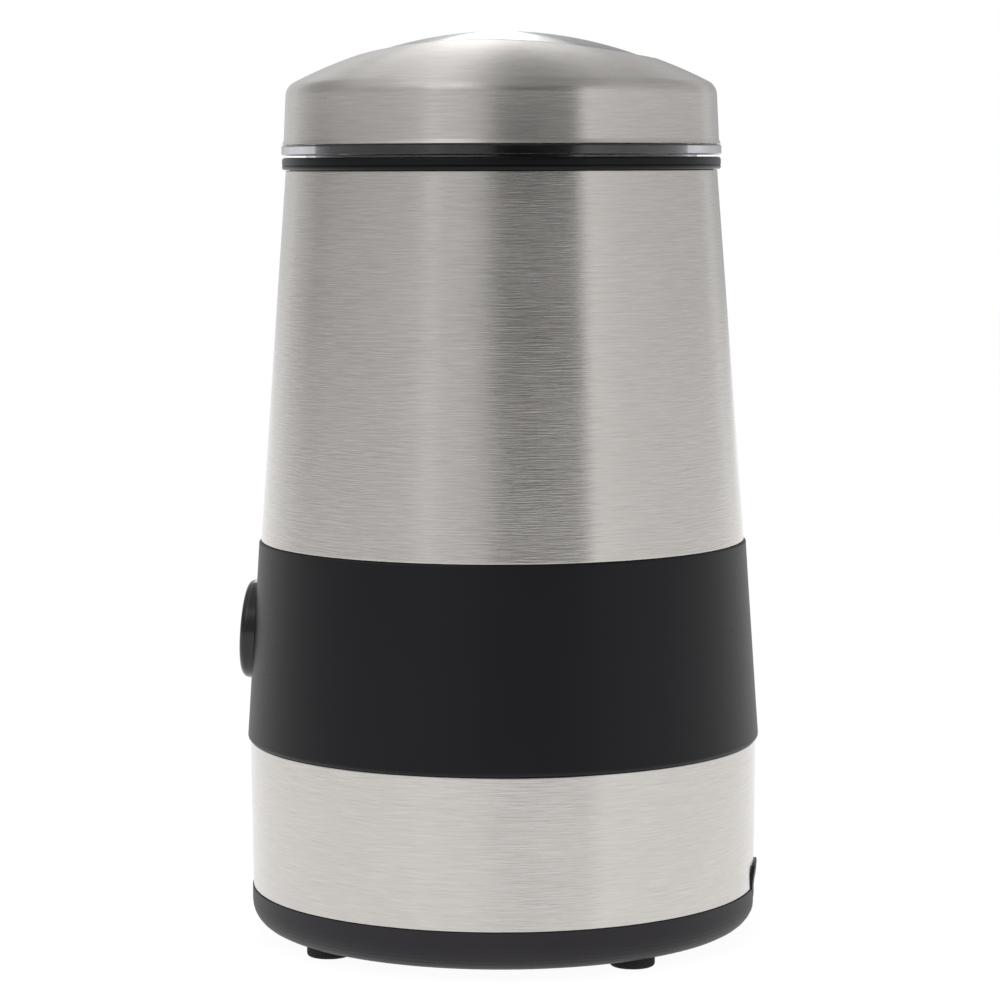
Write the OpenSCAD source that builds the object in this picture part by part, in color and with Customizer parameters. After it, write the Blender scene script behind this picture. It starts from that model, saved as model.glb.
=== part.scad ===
// Electric spice grinder: a tapered steel and plastic body with a fixed steel bowl,
// a twist-lock lid with a window, a side button and a series motor below the bowl.
// The button faces -Y, the lead outlet +Y, and Z = 0 is the surface that the feet stand on.

/* [Feet] */
// Radius of one rubber foot
foot_r = 4.5; // [3.6:0.1:5.4]
// How far the feet stand below the base
foot_proud = 2; // [1.5:0.1:3.5]
// Distance of the feet from the middle axis
foot_circle_r = 43.4; // [41:0.1:44]
// Direction of the first foot, counted from +X
foot_angle = 41; // [36:1:46]

/* [Base] */
// Height of the visible base without its feet
base_h = 8.2; // [7:0.1:11]
// Radius of the base
base_r = 52.1; // [51.7:0.05:52.6]
// Rounding of the base's lower edge
base_edge_r = 5.2; // [3:0.1:6]
// Thickness of the base's wall and floor
base_wall = 2.4; // [1.8:0.1:3]
// Height of the spigot that centres the lower sleeve
spigot_h = 6; // [4:0.1:8]
// Distance of the base screws from the middle axis
base_screw_circle_r = 38; // [36:0.1:39]
// Turn from each foot to the next base screw
base_screw_turn = 22; // [20:1:26]
// Number of cooling slots in the floor
vent_count = 24; // [16:1:28]
// Width of a cooling slot
vent_w = 2; // [1.4:0.1:2.4]

/* [Lead outlet] */
// Outer width of the arched outlet hood
hood_w = 13.3; // [12:0.1:16]
// Height of the hood above the base's rim
hood_rise = 4.5; // [4:0.1:8]
// Thickness of the arch around the outlet
hood_wall = 2.3; // [1.8:0.1:2.8]
// How far the hood stands out from the sleeve
hood_proud = 0.65; // [0.4:0.05:1.2]
// Rounding of the hood's upper corners
hood_corner_r = 2.6; // [2:0.1:3.4]

/* [Sleeves] */
// Thickness of the steel sheet
sheet_t = 0.6; // [0.4:0.1:0.8]
// Height of the lower sleeve
lower_sleeve_h = 30.5; // [28:0.5:36]
// Radius of the lower sleeve at its lower edge
lower_sleeve_low_r = 51.9; // [51.6:0.05:52.1]
// Radius of the lower sleeve at its upper edge
lower_sleeve_top_r = 52.2; // [51.9:0.05:52.5]
// Height of the upper sleeve
upper_sleeve_h = 75.6; // [74:0.5:84]
// Radius of the upper sleeve at its lower edge
upper_sleeve_low_r = 49.65; // [49.2:0.05:49.9]
// Radius of the upper sleeve at its upper edge
upper_sleeve_top_r = 44; // [43.8:0.05:44.3]

/* [Belt and housing] */
// Height of the black belt
belt_h = 40.9; // [38:0.5:46]
// Radius of the belt at its lower edge
belt_low_r = 52.75; // [52.6:0.05:53.4]
// Radius of the belt at its upper edge
belt_top_r = 50.1; // [50:0.05:50.6]
// Rounding of the belt's lower edge
belt_edge_r = 0.8; // [0.4:0.1:1.2]
// Wall thickness of the housing
housing_wall = 2.2; // [1.8:0.1:2.6]
// Gap between a sleeve and the housing inside it
sleeve_fit = 0.1; // [0.05:0.05:0.2]
// Thickness of the deck under the bowl
deck_t = 3; // [2.5:0.1:4]
// Thickness of the flange that carries the lock ring
flange_t = 2.2; // [1.8:0.1:2.8]

/* [Collar] */
// Height of the visible collar
collar_h = 2.5; // [2:0.1:3.5]
// Radius of the visible collar
collar_r = 44.75; // [44.5:0.05:45.2]
// Wall of the collar's skirt
collar_wall = 1.25; // [1:0.05:1.6]
// Height of the ledge that the lid's lugs lock under, with the collar
ledge_h = 7.5; // [6:0.1:8]
// Length of a snap hook below the skirt
hook_h = 5; // [4.6:0.1:7]
// Half of a snap hook's angle
hook_half_angle = 5; // [4:0.5:7]

/* [Bowl] */
// Depth of the bowl inside
bowl_depth = 44.6; // [42:0.1:48]
// Thickness of the bowl's sheet
bowl_t = 0.6; // [0.5:0.1:0.9]
// Rounding between the bowl's wall and floor
bowl_corner_r = 9; // [5:0.5:12]
// Width of the bowl's flat rim
bowl_rim_w = 2.2; // [2:0.1:3]
// How far the bowl's rim lies below the collar's top
bowl_rim_drop = 5.2; // [4.6:0.1:6]
// Radius of the hole in the bowl's floor
bowl_hole_r = 7; // [6.4:0.1:8]

/* [Lid] */
// Height of the lid from its rim's lower face to the top of the window
lid_h = 25.1; // [23:0.1:30]
// Gap between the collar and the closed lid
lid_gap = 0.4; // [0.3:0.05:0.8]
// Radius of the clear rim
lid_rim_r = 44.85; // [44.7:0.05:45.3]
// Thickness of the clear rim
lid_rim_t = 2.1; // [1.6:0.1:2.6]
// Wall of the clear moulding
lid_wall = 2; // [1.6:0.1:2.4]
// Wall of the clear skirt that reaches into the collar
lid_skirt_t = 1.8; // [1.4:0.1:2]
// Depth of the skirt below the rim
lid_skirt_h = 11.2; // [10.6:0.1:12]
// Thickness of the steel cover
cover_t = 0.5; // [0.4:0.05:0.7]
// Radius of the cover's lower edge
cover_low_r = 44.7; // [44.5:0.05:44.8]
// Radius of the cover's side above the flared edge
cover_side_r = 44.35; // [44.1:0.05:44.5]
// Radius of the cover's side under its shoulder
cover_shoulder_r = 43.93; // [43.7:0.01:44.1]
// Rounding of the cover's shoulder
cover_corner_r = 3.2; // [2.4:0.1:5]
// Radius of the cover's domed top
cover_dome_r = 92; // [84:1:110]
// Radius of the window's domed top
window_dome_r = 82; // [76:1:90]
// Half the length of the oval window
window_long_r = 31.8; // [28:0.1:34]
// Half the width of the oval window
window_short_r = 20.6; // [16:0.1:26]
// Direction of the window's length, counted from +X
window_angle = 83; // [0:1:180]

/* [Twist lock] */
// How far the lid's lugs stand out of its skirt
lug_proud = 1.8; // [1.4:0.1:2]
// Height of a lug
lug_h = 3; // [2.4:0.1:3.4]
// Half of a lug's angle
lug_half_angle = 9; // [7:0.5:11]
// Direction of the first lug, counted from +X
lug_angle = 30; // [26:1:34]
// Turn between open and locked
lock_turn = 25; // [22:1:28]
// Thickness of the lock ring
lock_ring_t = 2; // [1.6:0.1:2.6]
// Angle of one driving dog on the lock ring
dog_angle = 4; // [3:0.5:5]
// Play of a lug between its dogs, on each side (angle)
dog_play = 0.5; // [0.4:0.1:1]
// Clearance of the lid and the lock ring in the collar
lid_fit = 0.3; // [0.2:0.05:0.4]

/* [Safety switch] */
// Travel of the safety pin when the lid is locked
pin_travel = 2.4; // [2:0.1:2.8]
// Radius of the safety pin
pin_r = 1.4; // [1.2:0.1:1.5]
// Radius of the safety pin's head
pin_head_r = 2.9; // [2.8:0.1:3]
// Direction of the safety pin, counted from +X
pin_angle = 90; // [84:1:96]
// Length of the safety pin below its head
pin_stem_l = 12.6; // [12.4:0.2:15]
// Running clearance of sliding stems in their guides
slide_fit = 0.08; // [0.05:0.01:0.1]

/* [Button] */
// Radius of the power button
button_r = 10.2; // [9:0.1:11]
// How far the button stands out of the belt
button_proud = 2.2; // [2:0.1:3]
// Height of the button's middle above the belt's lower edge
button_up = 21.6; // [18:0.1:23]
// Travel of the button
button_travel = 2; // [1.4:0.1:2]
// Clearance of the button in its hole
button_fit = 0.25; // [0.2:0.05:0.4]
// Thickness of the button's face and wall
button_wall = 1.6; // [1.2:0.1:2]
// Rounding of the button's edge
button_edge_r = 1.4; // [0.6:0.1:1.5]
// Radius of the stem behind the button
stem_r = 2.2; // [1.8:0.1:2.4]
// Depth of the guide sleeve behind the belt's surface
guide_depth = 7.5; // [7:0.1:9]

/* [Switches] */
// Length of a microswitch
switch_l = 19.8; // [19:0.1:20.4]
// Thickness of a microswitch
switch_t = 6.4; // [6:0.1:6.6]
// Height of a microswitch without its plunger
switch_h = 10.2; // [9.6:0.1:10.6]
// Spacing of a microswitch's fixing holes
switch_hole_spacing = 9.5; // [9:0.1:10]
// Length of a microswitch's terminals
terminal_l = 3; // [2.4:0.1:3.2]
// Radius of a microswitch's plunger
plunger_r = 1.2; // [1:0.1:1.4]

/* [Motor] */
// Length of the stator's core along X
stator_l = 62; // [60:0.5:64]
// Width of the stator's core along Y
stator_w = 52; // [51:0.5:53]
// Height of the stator's lamination stack
stack_h = 28; // [24:0.5:30]
// Radius of the armature
armature_r = 16; // [15:0.1:16.2]
// Air gap between the armature and the stator
air_gap = 0.6; // [0.4:0.1:0.8]
// Number of armature slots and commutator bars
slot_count = 12; // [8:1:14]
// Radius of the motor's shaft
shaft_r = 3; // [2.6:0.1:3.2]
// Running clearance of the shaft in its bearings and seal
shaft_fit = 0.04; // [0.02:0.01:0.08]
// Radius of the commutator
commutator_r = 9; // [8:0.1:10]
// Length of the commutator
commutator_l = 11; // [9:0.1:12]
// Distance of the motor's mounts from the middle axis
mount_circle_r = 36.5; // [36:0.1:37.5]
// Half of the angle between two neighbouring mounts
mount_half_angle = 22; // [20:1:26]
// Thickness of the rubber mounts
mount_h = 4; // [3:0.1:5]
// Radius of the cooling fan
fan_r = 24; // [20:0.5:26]
// Height of the cooling fan
fan_h = 9; // [7:0.5:10]
// Number of fan vanes
fan_vanes = 11; // [8:1:14]

/* [Blade] */
// Length of one blade arm from the middle axis
blade_r = 27.5; // [24:0.5:29]
// Width of the blade at its middle
blade_w = 12; // [10:0.5:14]
// Thickness of the blade
blade_t = 1.5; // [1.2:0.1:2]
// Upward bend of one blade tip (angle)
blade_up_bend = 32; // [20:1:40]
// Downward bend of the other blade tip (angle)
blade_down_bend = 9; // [4:1:12]
// Distance of the bend from the middle axis
blade_bend_r = 16; // [14:0.5:19]
// Height of the blade above the bowl's floor
blade_rise = 4.3; // [4.2:0.1:6]

/* [Hidden] */
$fn = 96;
eps = 0.01;
seat = 0.1; // gap between two still pieces that seat on each other
touch = 0.05; // gap between a screw or a small piece and what it bears on
bevel = 0.3; // small bevel on moulded edges

steel = [0.78, 0.77, 0.76];
black = [0.13, 0.13, 0.15];
rubber = [0.07, 0.07, 0.08];
copper = [0.72, 0.42, 0.24];
iron = [0.45, 0.46, 0.48];

// Heights of the outer stack
base_z = foot_proud;
base_top_z = base_z + base_h;
belt_low_z = base_top_z + lower_sleeve_h;
belt_top_z = belt_low_z + belt_h;
sleeve_top_z = belt_top_z + upper_sleeve_h;
collar_z = sleeve_top_z + seat;
collar_top_z = collar_z + collar_h;
lid_z = collar_top_z + lid_gap;
lid_rim_top_z = lid_z + lid_rim_t;
lid_top_z = lid_z + lid_h;
cover_z = lid_rim_top_z + seat;

// Outer radii at a height
function between(z, z1, r1, z2, r2) = r1 + (r2 - r1) * (z - z1) / (z2 - z1);
function belt_radius(z) = between(z, belt_low_z, belt_low_r, belt_top_z, belt_top_r);
function upper_radius(z) = between(z, belt_top_z, upper_sleeve_low_r, sleeve_top_z, upper_sleeve_top_r);
function lower_radius(z) = between(z, base_top_z, lower_sleeve_low_r, belt_low_z, lower_sleeve_top_r);
function housing_radius(z) = upper_radius(z) - sheet_t - sleeve_fit;

// Points of an arc about [x, y], from one angle to another
function arc(x, y, r, from, to, steps) =
  [for (i = [0:steps]) let (a = from + (to - from) * i / steps) [x + r * cos(a), y + r * sin(a)]];

// Twist lock, from the collar's skirt inwards
skirt_out_r = upper_sleeve_top_r - sheet_t - seat - touch;
notch_r = skirt_out_r - collar_wall;
lug_r = notch_r - lid_fit;
lid_skirt_r = lug_r - lug_proud;
lid_skirt_in_r = lid_skirt_r - lid_skirt_t;
ledge_r = lid_skirt_r + lid_fit;
ledge_z = collar_top_z - ledge_h;
lug_top_z = ledge_z - lid_fit;
lug_z = lid_z - lid_skirt_h;
lock_ring_z = lug_z - 2 * lid_fit - lock_ring_t;
flange_top_z = lock_ring_z - lid_fit;
flange_z = flange_top_z - flange_t;
lug_count = 3;
hook_angles = [for (i = [0:lug_count - 1]) lug_angle + 360 / lug_count * i];

// Bowl
rim_gap = 0.8;
bowl_rim_r = lid_skirt_in_r - rim_gap;
bowl_r = bowl_rim_r - bowl_rim_w - bowl_t;
bowl_rim_z = collar_top_z - bowl_rim_drop;
bowl_floor_z = bowl_rim_z - bowl_depth;
deck_top_z = bowl_floor_z - bowl_t - seat;
deck_z = deck_top_z - deck_t;
upstand_r = bowl_rim_r - 2 * seat;

// Motor, hung below the deck
post_h = 6;
mount_top_z = deck_z - post_h;
bracket_t = 2.5;
bracket_top_z = mount_top_z - mount_h;
bracket_z = bracket_top_z - bracket_t;
spacer_h = 13;
stack_top_z = bracket_z - spacer_h;
stack_z = stack_top_z - stack_h;
coil_reach = 7; // how far the windings reach past the stack
commutator_gap = 1.5;
bore_r = armature_r + air_gap;
commutator_top_z = stack_z - coil_reach - commutator_gap;
commutator_z = commutator_top_z - commutator_l;
lower_plate_t = 3;
plate_drop = 5; // how far the lower plate lies below the commutator
lower_plate_top_z = commutator_z - plate_drop;
lower_plate_z = lower_plate_top_z - lower_plate_t;
fan_gap = 3;
fan_top_z = lower_plate_z - fan_gap;
fan_z = fan_top_z - fan_h;
shaft_end = 1; // how far the shaft stands out of the fan
shaft_z = fan_z - shaft_end;
bearing_r = 6.5;
bearing_l = 7;
bearing_wall = 2;
blade_z = bowl_floor_z + blade_rise;
nut_h = 4.5;
shaft_top_z = blade_z + blade_t + nut_h - 0.6;
brush_z = commutator_z + commutator_l / 2;
core_corner_r = 6;
bolt_inset = 3.6; // from the core's edges to the middle of a bolt
bolt_x = stator_l / 2 - bolt_inset;
bolt_y = stator_w / 2 - bolt_inset;
bolt_r = 1.7;
bolt_hole_r = bolt_r + 0.1;
mount_angles = [mount_half_angle, 180 - mount_half_angle, 180 + mount_half_angle, -mount_half_angle];

// Button frame: local +Z is the belt's outward normal at the button, local X is the row's X
belt_slope = atan((belt_low_r - belt_top_r) / belt_h);
button_z = belt_low_z + button_up;
button_hook_h = 1.7;
bracket_face = -guide_depth - button_travel - 0.5;
bracket_sheet = 1.4;
bracket_boss_x = 17;
plunger_out = 2.4;
plunger_in = 0.8; // how far a plunger starts inside its switch
plunger_well = 3.4;
peg_up = 2.9; // from a microswitch's lower face to its fixing holes
power_switch_top = bracket_face - bracket_sheet - touch;
stem_end = power_switch_top + plunger_out;
module at_button() {
  translate([0, -belt_radius(button_z), button_z]) rotate([90 - belt_slope, 0, 0]) children();
}

// Safety pin
pin_circle_r = notch_r - 3.1;
pin_top_z = lock_ring_z - touch;
pin_head_h = 1.2;
pin_head_z = flange_z - 0.5 - pin_head_h;
pin_end_z = pin_head_z - pin_stem_l;
safety_spring_h = 7.4;
pin_guide_top_z = pin_head_z - safety_spring_h;
pin_guide_h = 4;
pin_guide_r = 3.4;
safety_reach = plunger_out + 0.4; // from the pin's end to the safety switch
safety_switch_top_z = pin_end_z - safety_reach;
module at_pin() {
  rotate([0, 0, pin_angle - 90]) translate([0, pin_circle_r, 0]) children();
}

// Self-tapping screw with its head's upper face at z = 0, pointing up through the head
module screw(length, r, head_r, head_h) {
  difference() {
    union() {
      cylinder(r = r, h = length);
      translate([0, 0, -head_h]) cylinder(r = head_r, h = head_h + eps);
    }
    drive_w = 0.7;
    drive_l = head_r * 1.2;
    for (a = [0, 90])
      rotate([0, 0, a]) translate([-drive_l / 2, -drive_w / 2, -head_h - eps])
        cube([drive_l, drive_w, head_h * 0.6]);
  }
}

// Part of a ring between two radii, centred on an angle
module ring_part(r1, r2, h, middle, half_angle) {
  rotate([0, 0, middle - half_angle])
    rotate_extrude(angle = 2 * half_angle) translate([r1, 0]) square([r2 - r1, h]);
}

module ring(r1, r2, h) {
  rotate_extrude() translate([r1, 0]) square([r2 - r1, h]);
}

// Flat rounded rectangle
module rounded(l, w, r) {
  square([l - 2 * r, w], center = true);
  square([l, w - 2 * r], center = true);
  for (x = [-1, 1], y = [-1, 1])
    translate([x * (l / 2 - r), y * (w / 2 - r)]) circle(r = r);
}

// Coil spring standing on z = 0, as one swept tube
module coil_spring(r, wire_r, h, turns) {
  sides = 6;
  steps = 14;
  rings = turns * steps;
  spring_points = [for (i = [0:rings], j = [0:sides - 1])
    let (a = 360 * i / steps, b = 360 * j / sides, reach = r + wire_r * cos(b))
    [reach * cos(a), reach * sin(a), wire_r + (h - 2 * wire_r) * i / rings + wire_r * sin(b)]];
  side_faces = [for (i = [0:rings - 1], j = [0:sides - 1])
    let (k = (j + 1) % sides)
    [i * sides + j, (i + 1) * sides + j, (i + 1) * sides + k, i * sides + k]];
  polyhedron(
    points = spring_points,
    faces = concat(
      side_faces,
      [[for (j = [0:sides - 1]) j]],
      [[for (j = [sides - 1:-1:0]) rings * sides + j]]
    )
  );
}

// Microswitch with its plunger hole at the origin, on the body's upper face, and blades below
module microswitch() {
  fixing_r = 1.5;
  terminal_t = 0.8;
  terminal_w = 3.2;
  terminal_spacing = 8;
  difference() {
    translate([0, 0, -switch_h / 2]) cube([switch_l, switch_t, switch_h], center = true);
    translate([0, 0, -plunger_well]) cylinder(r = plunger_r + slide_fit, h = plunger_well + 1);
    for (x = [-1, 1])
      translate([x * switch_hole_spacing / 2, 0, peg_up - switch_h])
        rotate([90, 0, 0]) cylinder(r = fixing_r, h = switch_t + 1, center = true);
  }
  for (i = [-1:1])
    translate([i * terminal_spacing, 0, -switch_h - terminal_l / 2])
      cube([terminal_t, terminal_w, terminal_l + eps], center = true);
}

// Plunger of a microswitch, with this much of it standing out of the switch
module plunger(out) {
  translate([0, 0, -plunger_in]) cylinder(r = plunger_r, h = plunger_in + out);
}

// ---- Base ----

outlet_w = hood_w - 2 * hood_wall;
outlet_corner_r = hood_corner_r - 0.6;
outlet_low_z = base_z + base_wall + 0.6;
hood_top_z = base_top_z + hood_rise;
base_floor_top_z = base_z + base_wall;
spigot_r = lower_sleeve_low_r - sheet_t - 2 * seat;
spigot_top_z = base_top_z + spigot_h;
housing_low_z = spigot_top_z + seat;

// Arch with rounded upper corners, run along +Y
module arch(width, corner_r, low_z, high_z, y1, y2) {
  translate([0, y2, 0]) rotate([90, 0, 0]) linear_extrude(y2 - y1) polygon(concat(
    [[-width / 2, low_z], [width / 2, low_z]],
    arc(width / 2 - corner_r, high_z - corner_r, corner_r, 0, 90, 6),
    arc(corner_r - width / 2, high_z - corner_r, corner_r, 90, 180, 6)
  ));
}

module base_profile() {
  polygon(concat(
    [[0, base_z]],
    arc(base_r - base_edge_r, base_z + base_edge_r, base_edge_r, -90, 0, 8),
    [
      [base_r, base_top_z], [spigot_r, base_top_z], [spigot_r, spigot_top_z],
      [spigot_r - base_wall, spigot_top_z], [spigot_r - base_wall, base_top_z - base_wall / 2]
    ],
    arc(base_r - base_wall - base_edge_r, base_floor_top_z + base_edge_r * 0.7, base_edge_r * 0.7, 0, -90, 6),
    [[0, base_floor_top_z]]
  ));
}

foot_angles = [for (i = [0:3]) foot_angle + 90 * i];
base_screw_angles = [for (a = foot_angles) a + base_screw_turn];
base_screw_head_z = base_floor_top_z + 5;
base_screw_head_r = 3;
base_screw_r = 1.45;
foot_stem_r = 1.75;
foot_socket_h = 1.6; // how far a foot's boss stands above the floor
foot_recess = 1;

module base_cover() color(black) difference() {
  tower_r = 4.6;
  boss_r = 3.8;
  vent_in_r = 14;
  vent_lengths = [16, 10];
  hood_sink = 2; // how far the hood's block starts below the rim
  union() {
    rotate_extrude() base_profile();
    for (a = base_screw_angles)
      rotate([0, 0, a]) translate([base_screw_circle_r, 0, base_z + eps])
        cylinder(r = tower_r, h = spigot_top_z - base_z - eps);
    intersection() {
      arch(hood_w, hood_corner_r, base_top_z - hood_sink, hood_top_z, spigot_r - base_wall, base_r + 2);
      translate([0, 0, base_top_z - hood_sink])
        cylinder(r1 = base_r - 0.1, r2 = lower_radius(hood_top_z) + hood_proud, h = hood_rise + hood_sink);
    }
    for (a = foot_angles)
      rotate([0, 0, a]) translate([foot_circle_r, 0, base_z + eps])
        cylinder(r = boss_r, h = base_wall + foot_socket_h);
  }
  arch(outlet_w, outlet_corner_r, outlet_low_z, hood_top_z - hood_wall, spigot_r - base_wall - 8, base_r + 4);
  for (a = base_screw_angles)
    rotate([0, 0, a]) translate([base_screw_circle_r, 0, 0]) {
      cylinder(r = base_screw_head_r + bevel, h = base_screw_head_z);
      cylinder(r = base_screw_r + 0.45, h = spigot_top_z + 1);
    }
  for (a = foot_angles)
    rotate([0, 0, a]) translate([foot_circle_r, 0, 0]) {
      cylinder(r = foot_r + seat, h = base_z + foot_recess);
      cylinder(r = foot_stem_r + touch, h = base_z + base_wall + foot_socket_h + 1);
    }
  for (i = [0:vent_count - 1])
    rotate([0, 0, (i + 0.5) * 360 / vent_count]) translate([vent_in_r, -vent_w / 2, base_z - 1])
      cube([vent_lengths[i % 2], vent_w, base_wall + 2]);
}

module rubber_feet() color(rubber) {
  edge_r = 0.6;
  barb_r = 2.3;
  tip_r = 1.2;
  tip_h = 1.5;
  recess_z = base_z + foot_recess - touch;
  barb_z = base_floor_top_z + foot_socket_h + seat;
  for (a = foot_angles)
    rotate([0, 0, a]) translate([foot_circle_r, 0, 0])
      rotate_extrude() polygon(concat(
        [[0, 0]],
        arc(foot_r - edge_r, edge_r, edge_r, -90, 0, 5),
        [
          [foot_r, recess_z], [foot_stem_r, recess_z], [foot_stem_r, barb_z], [barb_r, barb_z + 2 * seat],
          [tip_r, barb_z + tip_h + 2 * seat], [0, barb_z + tip_h + 2 * seat]
        ]
      ));
}

module base_screws() color(iron)
  for (a = base_screw_angles)
    rotate([0, 0, a]) translate([base_screw_circle_r, 0, base_screw_head_z - touch])
      screw(16, base_screw_r, base_screw_head_r, 2);

// ---- Housing and sleeves ----

module lower_sleeve() color(steel) difference() {
  z1 = base_top_z + touch;
  z2 = belt_low_z - touch;
  rotate_extrude() polygon([
    [lower_radius(z1) - sheet_t, z1], [lower_radius(z1), z1],
    [lower_radius(z2), z2], [lower_radius(z2) - sheet_t, z2]
  ]);
  arch(hood_w + 2 * seat, hood_corner_r, base_z, hood_top_z + seat, spigot_r - 4, base_r + 4);
}

module upper_sleeve() color(steel) {
  z1 = belt_top_z + touch;
  z2 = sleeve_top_z;
  rotate_extrude() polygon([
    [upper_radius(z1) - sheet_t, z1], [upper_radius(z1), z1],
    [upper_radius(z2), z2], [upper_radius(z2) - sheet_t, z2]
  ]);
}

inner_low_r = lower_sleeve_low_r - sheet_t - sleeve_fit - seat;
flange_in_r = bowl_rim_r - bowl_rim_w;
module housing_profile() {
  belt_cut = 1.4; // height of the slopes that join the belt's wall to the walls above and below it
  belt_wall = housing_wall + 0.2;
  polygon(concat(
    [[inner_low_r, housing_low_z], [inner_low_r, belt_low_z]],
    arc(belt_low_r - belt_edge_r, belt_low_z + belt_edge_r, belt_edge_r, -90, 0, 4),
    [
      [belt_top_r, belt_top_z - bevel], [belt_top_r - bevel, belt_top_z],
      [housing_radius(belt_top_z), belt_top_z], [housing_radius(flange_top_z), flange_top_z],
      [flange_in_r, flange_top_z],
      [flange_in_r, flange_z],
      [housing_radius(flange_z) - housing_wall, flange_z],
      [housing_radius(belt_top_z) - housing_wall, belt_top_z],
      [belt_radius(belt_top_z) - belt_wall, belt_top_z - belt_cut],
      [belt_radius(belt_low_z) - belt_wall, belt_low_z + 2 * belt_cut],
      [inner_low_r - housing_wall, belt_low_z + belt_cut], [inner_low_r - housing_wall, housing_low_z]
    ]
  ));
}

boss_len = 18;
boss_r = 4;
rib_t = 2;
post_r = 4;
button_sleeve_wall = 1.9;
bracket_boss_r = 3;
pilot_depth = 7;
pad_w = 16;
pad_h = 6;
peg_r = 1.35;
pad_y = pin_circle_r + switch_t / 2 + seat;
peg_z = safety_switch_top_z - switch_h + peg_up;
ramp_tail_angle = 6;
slot_half_angle = lock_turn + ramp_tail_angle / 2 + 1.5;

module main_housing() color(black) difference() {
  union() {
    rotate_extrude() housing_profile();
    // upstand under the bowl's rim
    translate([0, 0, flange_z])
      ring(flange_in_r + seat, upstand_r, bowl_rim_z - bowl_t - seat - flange_z);
    // deck under the bowl, with the motor's posts
    translate([0, 0, deck_z]) cylinder(r = housing_radius(deck_z) - housing_wall / 2, h = deck_t);
    for (a = mount_angles)
      rotate([0, 0, a]) translate([mount_circle_r, 0, mount_top_z]) cylinder(r = post_r, h = post_h + eps);
    // bosses and ribs for the base screws
    for (a = base_screw_angles)
      rotate([0, 0, a]) {
        translate([base_screw_circle_r, 0, housing_low_z]) cylinder(r = boss_r, h = boss_len);
        translate([base_screw_circle_r, -rib_t / 2, housing_low_z])
          cube([inner_low_r - housing_wall / 2 - base_screw_circle_r, rib_t, boss_len]);
      }
    // guide sleeve and bracket bosses behind the button
    at_button() translate([0, 0, -guide_depth])
      cylinder(r = button_r + button_fit + button_sleeve_wall, h = guide_depth - 2);
    for (x = [-1, 1])
      at_button() translate([x * bracket_boss_x, 0, bracket_face + touch])
        cylinder(r = bracket_boss_r, h = -bracket_face - 2 * housing_wall);
    // guide, pad and pegs for the safety switch
    at_pin() translate([0, 0, pin_guide_top_z - pin_guide_h]) {
      cylinder(r = pin_guide_r, h = pin_guide_h);
      translate([-rib_t, 0, 0])
        cube([2 * rib_t, housing_radius(pin_guide_top_z) - housing_wall / 2 - pin_circle_r, pin_guide_h]);
    }
    rotate([0, 0, pin_angle - 90]) {
      translate([-pad_w / 2, pad_y, peg_z - pad_h / 2])
        cube([pad_w, housing_radius(peg_z) - housing_wall / 2 - pad_y, pad_h]);
      for (x = [-1, 1])
        translate([x * switch_hole_spacing / 2, pad_y + eps, peg_z])
          rotate([90, 0, 0]) cylinder(r = peg_r, h = switch_t + 0.6);
    }
  }
  at_button() translate([0, 0, -20]) cylinder(r = button_r + button_fit, h = 30);
  for (x = [-1, 1])
    at_button() translate([x * bracket_boss_x, 0, bracket_face - 1])
      cylinder(r = bracket_screw_r + touch, h = pilot_depth);
  at_pin() translate([0, 0, pin_guide_top_z - pin_guide_h - 1])
    cylinder(r = pin_r + slide_fit, h = pin_guide_h + 2);
  translate([0, 0, deck_z - 1]) cylinder(r = bowl_hole_r + seat, h = deck_t + 2);
  for (a = mount_angles)
    rotate([0, 0, a]) translate([mount_circle_r, 0, mount_top_z - 1])
      cylinder(r = motor_screw_r + touch, h = pilot_depth);
  for (a = base_screw_angles)
    rotate([0, 0, a]) translate([base_screw_circle_r, 0, housing_low_z - 1])
      cylinder(r = base_screw_r + touch, h = boss_len - 2);
  // slot for the lock ring's ramp, and notches for the collar's hooks
  translate([0, 0, flange_z - 1])
    ring_part(upstand_r + 0.1, notch_r, flange_t + 2, pin_angle + ramp_tail_angle / 2, slot_half_angle);
  for (a = hook_angles)
    translate([0, 0, flange_z - 5]) ring_part(notch_r, collar_r, flange_t + 6, a, hook_half_angle + 0.8);
}

// ---- Collar, bowl and seal ----

module top_collar() color(black) difference() {
  skirt_z = flange_top_z + touch;
  low_edge_r = 0.5;
  top_edge_r = 0.6;
  groove_z = collar_z + collar_h * 0.34;
  groove_w = 0.2;
  groove_d = 0.12;
  hook_in_r = notch_r + seat;
  barb = 0.9;
  barb_h = hook_h - flange_t - 0.25;
  union() {
    rotate_extrude() polygon(concat(
      [[ledge_r, collar_top_z], [ledge_r, ledge_z], [notch_r, ledge_z], [notch_r, skirt_z]],
      [[skirt_out_r, skirt_z], [skirt_out_r, collar_z]],
      arc(collar_r - low_edge_r, collar_z + low_edge_r, low_edge_r, -90, 0, 4),
      [
        [collar_r, groove_z - groove_w / 2], [collar_r - groove_d, groove_z],
        [collar_r, groove_z + groove_w / 2]
      ],
      arc(collar_r - top_edge_r, collar_top_z - top_edge_r, top_edge_r, 0, 90, 4)
    ));
    for (a = hook_angles) {
      translate([0, 0, flange_top_z - hook_h])
        ring_part(hook_in_r, skirt_out_r - seat, hook_h + 1, a, hook_half_angle);
      translate([0, 0, flange_top_z - hook_h + seat])
        ring_part(hook_in_r - barb, hook_in_r + barb / 2, barb_h, a, hook_half_angle - 0.2);
    }
  }
  // notches that let the lid's lugs down past the ledge
  for (a = hook_angles)
    translate([0, 0, ledge_z - 1])
      ring_part(ledge_r - 1, notch_r + seat, ledge_h + 2, a, lug_half_angle + 1.5);
}

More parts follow.
